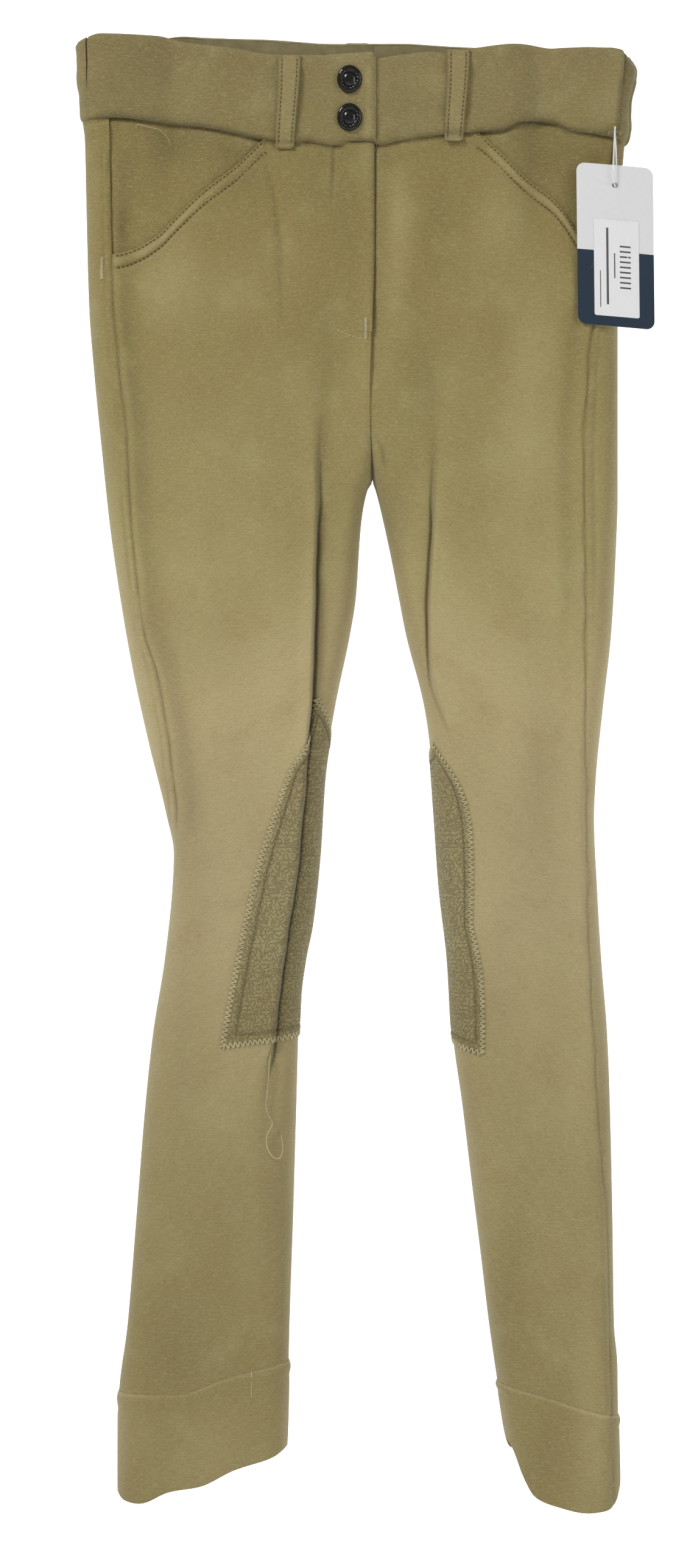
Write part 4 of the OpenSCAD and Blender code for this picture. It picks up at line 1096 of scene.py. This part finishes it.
def fly_stitching():
    """The foot of the fly's J of topstitching, the stitches on the seam below it, and two stray stitches."""
    hook = [(-12.4, -176.4), (-8, -178.6), (-3, -180.6), (1.5, -181.8), (5.6, -182.2)]
    for name, side, body, path, pitch, length, radius, lift in (
            ("fly_hook_stitch", RIGHT, "seat", hook, 2.4, 1.9, 0.26, 0.1),
            ("centre_seam_stitch", LEFT, "seat", [(8.4, -194), (8.6, -217)], 1.5, 0.9, 0.2, 0.1),
            ("stray_stitch_calf", LEFT, "left_shin", [(128, -710.6), (136, -711.6)], 7.0, 8.0, 0.3, 0.1),
            ("stray_stitch_cuff", RIGHT, "right_shin", [(-63.5, -802), (-63.8, -818)], 8.0, 8.5, 0.32, 0.9)):
        place(sewn(name, side, path, PALE_THREAD, pitch, length, radius, lift=lift), body)


def frayed_ends():
    """Ends of the waist seam's thread that have worked loose and lie on the cloth."""
    for k, (side, path) in enumerate((
            (RIGHT, [(-133, -52.2), (-129, -53), (-125, -54.2), (-121, -54.6), (-118.6, -55.8),
                     (-115.6, -58.6), (-113.4, -61.6), (-112.8, -64.4)]),
            (LEFT, [(70, -59.5), (73.5, -60.5), (76, -63), (77, -66)]))):
        places, ups = on_cloth(side, *np.array(path).T)
        place(tube(f"waist_thread_end_{k + 1}", places + ups * 0.3, 0.17, EDGE_THREAD), "seat")


def bar_tack(name, side, x, z0, z1):
    """A dense row of short stitches across a seam's end."""
    zs = np.arange(z0, z1, -0.8)
    places, ups = on_cloth(side, x + 0 * zs, zs)
    runs = np.repeat([[1.0, 0, 0.2]], len(zs), 0)
    place(stitches(name, places + ups * 0.3, runs, ups, 2.2, 0.4, EDGE_THREAD), "seat")


# ---------------------------------------------------------------- pieces of the waistband

BAND_T = 3.0
BAND_LEVEL = -30.0  # a height within the waistband, where its ends at the side seams are measured
TAB_END = 11.4  # the overlap's free end
LEFT_START = 9.2  # the left half's end at the fly
band_rows = eased(26, 0.55)[:, None]
band_folds = waves(21, 46)


def band_crown(x, lift):
    """How far each row of the waistband stands off the panels: rounded edges, and a soft roll at the seam."""
    v = band_rows
    roll = 0.5 * np.sin(math.pi * v) + bell(v - 0.84, 0.12) - 1.4 * bell(v, 0.03) - 2.2 * bell(v - 1, 0.035)
    return lift + roll + 0.6 * band_folds(x, 90 * v) + 0.16 * band_folds(x * 3.1, 260 * v)


def span(upper, lower, x):
    """Heights of the waistband's rows from its upper edge to its seam."""
    return upper(x) + (lower(x) - upper(x)) * band_rows


def band_piece(parts, grid, lift, toward, fade=0.0):
    """Waistband cloth lifted off the panels, cut at columns into parts (name, body, node, first, last)."""
    n, _ = facing(grid, toward)
    outer = grid + n * (band_crown(grid[..., 0], lift) + fade)[..., None]
    n, _ = facing(outer, toward)
    uv = cloth_uv(outer)
    x = outer[..., 0]
    # Random tone along the band's folds; painted shade along its lower edge at the waist seam and below its
    # upper edge; darker toward the wearer's right end; at the left side seam, painted shade in the seam and
    # over the recessed part beyond it; the painted shadow of the overlap's edge on the left half, and a
    # painted highlight on the overlap's ridge
    painted_light_and_wear = 0.07 * band_folds(x * 0.6, 40 * band_rows) * np.sin(math.pi * band_rows)
    painted_light_and_wear = painted_light_and_wear + 0.7 * bell(band_rows - 1, 0.016) + 0.08 * bell(band_rows - 0.12, 0.1)
    painted_light_and_wear = painted_light_and_wear + 0.02 + 0.16 * smooth(0, -160, x)
    seam = SIDE_SEAM[LEFT](outer[..., 2])
    painted_light_and_wear = painted_light_and_wear + (outer[..., 1] < 2) * (0.8 * bell(x - seam, 0.9) + 0.3 * smooth(-0.5, 1.5, x - seam)
                                         + 0.6 * bell(x - 12, 0.7) - 0.12 * bell(x - 6.5, 2.4))
    for name, where, node, first, last in parts:
        cut = (slice(None), slice(first, last))
        obj = shell(name, outer[cut], BAND_T, BAND_TWILL, toward, n[cut], uv[cut], painted_light_and_wear[cut])
        place(obj, where, node)


def on_front(side, x, z):
    """The front surface where x runs on past the centre line, level with the centre."""
    grid = face(side, z, share_at(side, z, x))
    grid[..., 0] += np.clip(x - centre_line(z), 0, None) if side == RIGHT else 0
    return grid


def waistband():
    """The four outer pieces: two fronts, the overlap that folds open, and the back."""
    end = eased(70, 0.3)[None]
    z = band_rows * -56 - 6
    x = LEFT_START + (SIDE_SEAM[LEFT](z) - 0.2 - LEFT_START) * end
    fade = 0.9 * bell(end - 1, 0.04) - 1.6 * bell(end - 1, 0.008)
    band_piece([("waistband_cloth_left", "seat", "waistband_front_left", 0, None)],
               on_front(LEFT, x, span(band_top, band_seam, x)), 1.2, FRONTWARD, fade)

    start = SIDE_SEAM[RIGHT](np.array(BAND_LEVEL)) + 0.2
    count = end.shape[1]
    tab = np.concatenate([0 * end[0], eased(24, 0.4)[1:]])[None]
    fold = CREASE(z)
    x = np.concatenate([start + (fold - start) * end, fold + (TAB_END - fold) * tab[:, count:]], axis=1)
    fade = 1.5 * smooth(0.3, 0.9, tab) - 0.9 * bell(tab - 1, 0.03)
    band_piece([("waistband_cloth_right", "seat", "waistband_front_right", 0, count),
                ("waistband_cloth_overlap", "fly_flap", "waistband_overlap", count - 1, None)],
               on_front(RIGHT, x, span(band_top, band_seam, x)), 1.1, FRONTWARD, fade)

    halves = []
    for side in (RIGHT, LEFT):
        seam = SIDE_SEAM[side](np.array(BAND_LEVEL))
        begin = share_at(side, BAND_LEVEL, seam if side == RIGHT else seam - 1.5)
        ahead, behind = begin + (FOLD_SHARE - begin) * np.linspace(0, 1, 14), 1 - eased(72, 0.2)[1:]
        front = span(band_top, band_seam, face(side, BAND_LEVEL + 0 * ahead, ahead)[:, 0])
        rear = span(back_top, back_seam, face(side, BAND_LEVEL + 0 * behind, behind, True)[:, 0])
        halves.append(np.concatenate([face(side, front, ahead[None] + 0 * front),
                                      face(side, rear, behind[None] + 0 * rear, True)], axis=1))
    grid = np.concatenate([halves[0], halves[1][:, -2::-1]], axis=1)
    centre, beside = halves[0].shape[1] - 1, 7
    first, last = centre - beside, centre + beside  # the columns between these run straight across the centre
    across = np.linspace(0, 1, last - first + 1)[None, :, None]
    grid[:, first:last + 1] = grid[:, first:first + 1] * (1 - across) + grid[:, last:last + 1] * across
    middle = smooth(64, 40, np.abs(grid[..., 0])) * (grid[..., 1] > 3)
    gathers = np.sin(grid[..., 0] / 1.9 + np.sin(grid[..., 2] / 9)) * middle * np.sin(math.pi * band_rows)
    at_left = smooth(150, 157, grid[..., 0]) * (grid[..., 1] < 0)
    band_piece([("waistband_cloth_back", "seat", "waistband_back", 0, None)], grid, 0.8, BACKWARD,
               0.5 * gathers - 1.5 * at_left)


def linings():
    """The facings and the elastic inside the waistband, and the pieces behind the fly."""
    for side, x0, x1 in ((RIGHT, -158, -30), (LEFT, 22, 150)):
        x = np.linspace(x0, x1, 60)[None]
        z = span(lambda q: band_top(q) - 2, lambda q: band_seam(q) + 2, x)
        grid = on_front(side, x + 0 * z, z)
        grid[..., 1] += 2.6
        lay("waistband_lining_" + NAME[side], grid, 0.8, LINING, "waistband_facing_" + NAME[side])
    for name, node, in_by, thick, material in (
            ("waistband_elastic_strip", "waistband_elastic", 2.6, 0.9, ELASTIC),
            ("waistband_lining_back", "waistband_facing_back", 3.7, 0.8, LINING)):
        halves = []
        for side in (RIGHT, LEFT):
            f = np.linspace(0.88, 0, 54)[None]
            x = face(side, BAND_LEVEL + 0 * f, f, True)[..., 0]
            z = span(lambda q: back_top(q) - 2, lambda q: back_seam(q) + 2, x)
            halves.append(face(side, z, f + 0 * z, True))
        grid = np.concatenate([halves[0], halves[1][:, -2::-1]], axis=1)
        grid[..., 1] -= in_by - (0.18 * np.sin(grid[..., 2] * 1.6) if material is ELASTIC else 0)
        lay(name, grid, thick, material, node, BACKWARD)
    for name, node, thick, material in (("waistband_cloth_underlap", "waistband_underlap", 1.9, BAND_TWILL),
                                        ("fly_shield_cloth", "fly_shield", 1.1, LINING),
                                        ("size_label_cloth", "size_label", 0.4, LABEL)):
        lo, hi = box_mm(node)
        u, v = np.meshgrid(eased(26, 0.4), eased(30, 0.4))
        x = lo[0] + (hi[0] - lo[0]) * u
        in_band = node == "waistband_underlap"
        top = np.minimum(hi[2], band_top(x) - 1) if in_band else hi[2] + 0 * x
        rounding = 9 if node == "fly_shield" else 0  # of its two lower corners
        low = np.maximum(lo[2], band_seam(x)) if in_band else lo[2] + rounding * (2 * u - 1) ** 8
        y = hi[1] - thick + 0.4 * (bell(u, 0.03) + bell(u - 1, 0.03))
        y = y + 0.16 * small_waves[LEFT](x * 2, v * 90)
        lay(name, np.stack([x, y, top + (low - top) * v], -1), thick, material, node)


def lay(name, grid, thick, material, node, toward=FRONTWARD):
    """A layer fixed in the seat, in place of one CAD node."""
    obj = shell(name, grid, thick, material, toward)
    place(obj, "seat", node)


def belt_loop(node, back=False):
    """A folded strip that stands off the band, turned under at both ends, with two rows of stitches."""
    lo, hi = box_mm(node)
    toward, forward = (BACKWARD, 1) if back else (FRONTWARD, -1)
    middle = (lo[0] + hi[0]) / 2
    side = LEFT if middle > LEFT_START else RIGHT
    t, u = np.linspace(0, 1, 60)[:, None], np.linspace(-1, 1, 19)[None]
    z = hi[2] + 0.6 + (lo[2] - hi[2] - 2.4) * t
    half = (hi[0] - lo[0]) / 2 * (1.14 - 0.2 * t)
    x = middle + u * half + 0.35 * np.sin(t * 5) + (0 if back else 0.8 - 2.6 * t)
    band = face(side, z, share_at(side, z, middle + 0 * z, back), back)[:, :1, 1]
    off = 2.6 + 2.2 * smooth(0.02, 0.2, t) * smooth(0.98, 0.8, t) + 0.5 * (bell(t, 0.04) + bell(t - 1, 0.04))
    out = np.abs(u)  # 0 along the loop's middle, 1 at its edges
    ridge = -0.3 * bell(out - 0.68, 0.12) + 0.3 * bell(out - 0.86, 0.1) - 0.9 * bell(out - 1, 0.08)
    grid = np.stack([x, band + forward * (off + ridge), z + 0 * x], -1)
    # Painted shade along the loop's edges and its stitch grooves, and a painted highlight along its middle
    edges = 0.3 * bell(out - 1, 0.08) + 0.12 * bell(out - 0.68, 0.07) - 0.06 * (out < 0.6) + 0 * t
    obj = shell(node + "_cloth", grid, 1.6, BAND_TWILL, toward, painted_light_and_wear=edges)
    place(obj, "seat", node)
    rows = [spaced(grid[2:-2, k], 2.6) for k in (3, 15)]
    places, runs = (np.concatenate([r[k] for r in rows]) for k in (0, 1))
    ups = np.repeat([list(toward)], len(places), 0)
    place(stitches(node + "_stitch", places + ups * 0.1, runs, ups, 1.5, 0.34, DARK_THREAD), "seat")


# ---------------------------------------------------------------- snaps, zip and tag


BEAD_RADIUS = 5.6
CAP_SQUEEZE = (0.93, 1.05)  # the cloth that holds the caps is turned a little aside


def lathe(name, profile, at, material, beads=0, segments=72):
    """A turned piece whose axis runs forward: profile is (radius, how far forward), from rim to middle."""
    p = np.array(profile, float)
    a = np.linspace(0, 2 * math.pi, segments, endpoint=False)
    r = p[:, :1] + 0 * a[None]
    fwd = p[:, 1:] + 0 * a[None]
    if beads:
        ring = bell(r - BEAD_RADIUS, 0.75)
        fwd = fwd + 0.42 * ring * smooth(-0.1, 0.5, np.sin(a * beads)[None] + 0.5 * np.sin(a * 5 + 1)[None])
    wide, tall = CAP_SQUEEZE if beads else (1, 1)
    points = np.stack([at[0] + wide * r * np.cos(a), at[1] - fwd, at[2] + tall * r * np.sin(a)], -1)
    points = points.reshape(-1, 3)
    faces = [list(f)[::-1] for f in grid_faces(len(p), segments, wrap=True)]
    faces += [list(range(segments)), [len(points) - segments + k for k in range(segments)][::-1]]
    return mesh(name, points, faces, material)


def snaps():
    """Two press snaps: domed caps with a beaded ring, and the CAD sockets, studs and posts behind them."""
    cap = [(7.0, -1.6), (7.8, -1.1), (8.0, -0.3), (7.9, 0.5), (7.4, 1.05), (6.9, 1.25),
           (6.4, 1.28), (5.9, 1.28), (5.4, 1.28), (4.9, 1.2), (4.5, 0.95), (4.3, 0.5),
           (4.1, 0.25), (3.7, 0.5), (3.1, 0.85), (2.3, 1.1), (1.4, 1.22), (0.4, 1.28)]
    for k, z in enumerate(SNAP_Z):
        y = on_cloth(RIGHT, SNAP_X, z)[0][1] - 3.2
        obj = lathe(f"snap_cap_{k + 1}", cap, (SNAP_X, y, z), GUNMETAL, beads=17)
        place(obj, "fly_flap", *(["snap_caps"] if k == 0 else []))
    for node in ("snap_sockets", "snap_studs", "snap_posts"):
        dress(node, GUNMETAL, 0.2)


def dress(node, material, bevel=0.0):
    """Keeps a CAD node, with a better material and softened edges."""
    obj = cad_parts[node]
    obj.data.materials.clear()
    obj.data.materials.append(material)
    if bevel:
        edge = obj.modifiers.new("soft_edges", "BEVEL")
        edge.width = bevel * MM
        edge.segments = 2
        edge.limit_method = "ANGLE"
        edge.angle_limit = math.radians(40)


def zip_parts():
    """The zip's CAD pieces in brass, and its tapes as ribbed cloth."""
    for node in ("zip_teeth_right", "zip_teeth_left", "zip_top_stops", "zip_bottom_stop"):
        dress(node, BRASS, 0.25)
    dress("zip_slider", BRASS, 0.3)
    dress("zip_pull", BRASS, 0.2)
    for side in (RIGHT, LEFT):
        node = "zip_tape_" + NAME[side]
        lo, hi = box_mm(node)
        u, v = np.meshgrid(np.linspace(0, 1, 22), np.linspace(0, 1, 90))
        x, z = lo[0] + (hi[0] - lo[0]) * u, hi[2] + (lo[2] - hi[2]) * v
        y = lo[1] + 0.1 + 0.09 * np.sin(z * 2.4) + 0.12 * np.sin(u * math.pi * 7)
        lay(node + "_cloth", np.stack([x, y, z], -1), 0.45, TAPE, node)


def rounded(w, h, r, per=8):
    """Outline of a rectangle with round corners, centred, anticlockwise."""
    out = []
    for cx, cz, a0 in ((1, 1, 0), (-1, 1, 90), (-1, -1, 180), (1, -1, 270)):
        for a in np.radians(np.linspace(a0, a0 + 90, per)):
            out.append((cx * (w / 2 - r) + r * math.cos(a), cz * (h / 2 - r) + r * math.sin(a)))
    return np.array(out)


def plate(name, outline, y, thick, material, curl, hole=None):
    """A thin card from an outline in X and Z, bent by curl(x, z), with an optional round hole."""
    bm = bmesh.new()
    edges = []
    for loop in [outline] if hole is None else [outline, hole]:
        verts = [bm.verts.new((p[0] * MM, 0, p[1] * MM)) for p in loop]
        edges += [bm.edges.new((verts[i], verts[(i + 1) % len(verts)])) for i in range(len(verts))]
    bmesh.ops.triangle_fill(bm, use_beauty=True, edges=edges)
    long_edges = [e for e in bm.edges if e.calc_length() > 0.012]
    bmesh.ops.subdivide_edges(bm, edges=long_edges, cuts=3, use_grid_fill=True)
    bmesh.ops.recalc_face_normals(bm, faces=bm.faces)
    if sum(f.normal.y for f in bm.faces) > 0:
        bmesh.ops.reverse_faces(bm, faces=bm.faces)
    made = bmesh.ops.extrude_face_region(bm, geom=list(bm.faces))
    for vert in (g for g in made["geom"] if isinstance(g, bmesh.types.BMVert)):
        vert.co.y -= thick * MM
    bmesh.ops.recalc_face_normals(bm, faces=bm.faces)
    for vert in bm.verts:
        vert.co.y += (y + curl(vert.co.x / MM, vert.co.z / MM)) * MM
    data = bpy.data.meshes.new(name)
    bm.to_mesh(data)
    bm.free()
    data.materials.append(material)
    obj = bpy.data.objects.new(name, data)
    bpy.context.scene.collection.objects.link(obj)
    return obj


def tag():
    """A blank hang tag, white over navy, with a blank sticker of plain rules, on a clear plastic loop."""
    lo, hi = box_mm("tag_card")
    mid, foot_z = (lo + hi) / 2, lo[2]
    hole_z, band_z = hi[2] - 13, hi[2] - 53
    hub = np.array([mid[0], hole_z])

    def turned(points):
        """The card hangs a little askew: its ends slope more than its sides."""
        q = np.asarray(points, float) - hub
        return np.stack([q[:, 0] - 0.01 * q[:, 1], q[:, 1] - 0.085 * q[:, 0]], -1) + hub

    def curl(x, z):
        return 0.00144 * (x - mid[0]) ** 2 - 0.5 * smooth(hole_z - 40, foot_z, z)

    a = np.linspace(0, 2 * math.pi, 20, endpoint=False)
    hole = hub + 1.7 * np.stack([np.cos(a), np.sin(a)], -1)
    outline = rounded(hi[0] - lo[0], hi[2] - lo[2] + 3, 5) + [mid[0], mid[2] - 2.5]
    card = plate("tag_card_board", turned(outline), mid[1] + 0.3, 0.6, CARD_WHITE, curl, hole)
    place(card, "hang_tag", "tag_card")
    low = outline[outline[:, 1] < band_z]
    left, right = low[:, 0].min(), low[:, 0].max()
    navy = np.concatenate([low, [(left + (right - left) * t, band_z) for t in np.linspace(1, 0, 12)]])
    place(plate("tag_card_foot", turned(navy), mid[1] - 0.3, 0.08, CARD_NAVY, curl), "hang_tag")

    lo, hi = box_mm("tag_sticker")
    patch = rounded(hi[0] - lo[0], hi[2] - lo[2], 1.2) + [(lo[0] + hi[0]) / 2, (lo[2] + hi[2]) / 2 - 3]
    sticker = plate("tag_sticker_paper", turned(patch), mid[1] - 0.4, 0.12, STICKER, curl)
    place(sticker, "hang_tag", "tag_sticker")
    # Each rule's place from the sticker's corner, and its width and height
    rules = [(3.5, 2, 0.5, 22), (7.4, 4, 1.3, 46), (12, 20, 0.7, 15)]
    rules += [(15.5, 14 + 3.1 * k, 6.5, 1.0) for k in range(9)]
    for k, (right_by, up_by, wide, tall) in enumerate(rules):
        x, z = lo[0] + right_by, lo[2] + up_by
        rule = turned([(x, z), (x + wide, z), (x + wide, z + tall), (x, z + tall)])
        place(plate(f"tag_rule_{k + 1}", rule, mid[1] - 0.53, 0.03, RULE_GREY, curl), "hang_tag")

    lo, hi = box_mm("tag_loop")
    half = (hi[2] - lo[2]) / 2 - 0.6
    path = []
    for t in np.linspace(0, 2 * math.pi, 64, endpoint=False):
        y = 3.0 * np.sign(math.sin(t)) * (1 - abs(math.cos(t)) ** 6) ** 0.5
        path.append((1.4 * math.sin(t) * math.sin(t * 0.5), y, half * math.cos(t)))
    path = np.array(path) + (lo + hi) / 2
    place(tube("tag_loop_string", path, 0.5, PLASTIC, 8, closed=True), "tag_loop", "tag_loop")
    dress("tag_anchor", THREAD, 0.1)


# From under the patch's lower edge, down in a long S, and back up in a hook
THREAD_ROUTE = [(-52, -12.5, -607), (-52, -12.6, -609), (-52.2, -15, -612), (-52.8, -18, -616),
                (-53.2, -18.8, -622), (-53.8, -18.8, -630), (-54.8, -18.8, -642), (-53.4, -18.8, -648),
                (-51, -19, -653), (-54.2, -19.2, -660), (-54.2, -19.2, -667), (-50.6, -19.4, -673),
                (-46.6, -19.2, -673.6), (-44.8, -18.8, -668), (-45.8, -18.6, -660)]


def loose_thread():
    """A loose end of sewing thread, as one smooth curve with the width of its CAD tube."""
    thick, slack = 0.6 * MM, 1.02  # a curve through the points is a little longer than their straight lines
    data = bpy.data.curves.new("loose_thread_end", "CURVE")
    data.dimensions = "3D"
    data.bevel_depth = thick / 2
    data.bevel_resolution = 2
    data.resolution_u = 6
    data.use_fill_caps = True
    line = data.splines.new("BEZIER")
    line.bezier_points.add(len(THREAD_ROUTE) - 1)
    p = np.array(THREAD_ROUTE, float) * MM
    slope = np.gradient(p, axis=0)
    for k, point in enumerate(line.bezier_points):
        point.co = p[k]
        point.handle_left = p[k] - slope[k] / 3
        point.handle_right = p[k] + slope[k] / 3
    data.materials.append(EDGE_THREAD)
    obj = bpy.data.objects.new("loose_thread_end", data)
    bpy.context.scene.collection.objects.link(obj)
    place(obj, "right_shin", "loose_thread")


# ---------------------------------------------------------------- camera, light and floor


def camera():
    """A camera straight in front, whose frame takes in the garment's own size at the cloth's front."""
    distance, front = 2.3, 0.0125
    frame_height = 2576 * 0.366 * MM  # the image's rows, at 0.366 mm each
    data = bpy.data.cameras.new("camera")
    data.sensor_width = 36
    data.lens = data.sensor_width * (distance - front) / frame_height
    obj = bpy.data.objects.new("camera", data)
    obj.location = (-0.0075, -distance, -0.4494)
    obj.rotation_euler = (math.radians(90), 0, 0)
    bpy.context.scene.collection.objects.link(obj)
    bpy.context.scene.camera = obj


def light(name, where, size, power):
    """A soft rectangular light that faces the middle of the garment."""
    data = bpy.data.lights.new(name, "AREA")
    data.shape = "RECTANGLE"
    data.size, data.size_y = size
    data.energy = power
    obj = bpy.data.objects.new(name, data)
    obj.location = where
    obj.rotation_euler = (Vector((0, 0, -0.45)) - Vector(where)).to_track_quat("-Z", "Y").to_euler()
    bpy.context.scene.collection.objects.link(obj)


def studio():
    """A pale floor that curves up into a far backdrop, both glowing as painted light, most behind the object,
    and soft light.
    """
    low = cad_box[0][2] - 0.1
    half_width, near, far, tall, bend = 30.0, -30.0, 7.0, 7.0, 1.0
    profile = [(near, 0.0), (far, 0.0)]
    turn = np.linspace(0.1, math.pi / 2, 14)
    profile += [(far + bend * math.sin(a), bend - bend * math.cos(a)) for a in turn]
    profile += [(far + bend, tall)]
    grid = np.array([[(x, y, low + z) for x in (-half_width, half_width)] for y, z in profile]) / MM
    paint = Nodes("studio", 0.9)
    at = paint.coords("Object")
    behind = paint.ramp(paint.add("ShaderNodeSeparateXYZ", Vector=at).outputs["Y"], 0.05, 0.5)
    paint.shader.inputs["Emission Color"].default_value = (1, 1, 1, 1)
    # The floor and backdrop glow faintly everywhere and more behind the object: painted light, lighting the
    # garment from below and behind
    glow = paint.math("ADD", 0.12, paint.math("MULTIPLY", behind, 0.6))
    paint.feed(paint.shader.inputs["Emission Strength"], glow)
    paint.finish(paint.mix(paint.noise(at, 2.0), (0.9, 0.9, 0.9, 1), (0.94, 0.94, 0.94, 1)))
    floor = mesh("floor", grid.reshape(-1, 3), grid_faces(len(profile), 2), paint.material)
    light("key", (-1.3, -1.3, 1.2), (0.5, 0.5), 33)
    light("fill", (1.6, -1.4, 0.2), (0.9, 1.4), 11)
    light("back", (1.5, 1.7, 1.0), (0.9, 0.9), 20)
    world = bpy.data.worlds.new("world")
    world.use_nodes = True
    world.node_tree.nodes["Background"].inputs["Color"].default_value = (1, 1, 1, 1)
    world.node_tree.nodes["Background"].inputs["Strength"].default_value = 0.45
    bpy.context.scene.world = world
    bpy.context.scene.view_settings.view_transform = "Standard"


camera()
loose_thread()
studio()
for side in (RIGHT, LEFT):
    name = NAME[side]
    grid, split = front_grid(side)
    normals, _ = facing(grid, FRONTWARD)
    if side == RIGHT:
        fly_placket(grid, normals)
    leg_panel("panel_front_" + name, side, grid, split, FRONTWARD,
              ["front_panel_" + name, "thigh_front_" + name, "shin_front_" + name], normals)
    grid, split = back_grid(side)
    leg_panel("panel_back_" + name, side, grid, split, BACKWARD,
              ["back_panel_" + name, "thigh_back_" + name, "shin_back_" + name])
    cuff(side)
    knee_patch(side)
    pocket(side)
fly_stitching()
frayed_ends()
bar_tack("pocket_tack_right", RIGHT, -153.5, -133, -146)
bar_tack("fly_tack", RIGHT, 5.0, -169.5, -182)
waistband()
linings()
for node in ("belt_loop_front_right", "belt_loop_front_left"):
    belt_loop(node)
for node in ("belt_loop_back_right", "belt_loop_back_centre", "belt_loop_back_left"):
    belt_loop(node, True)
snaps()
zip_parts()
tag()
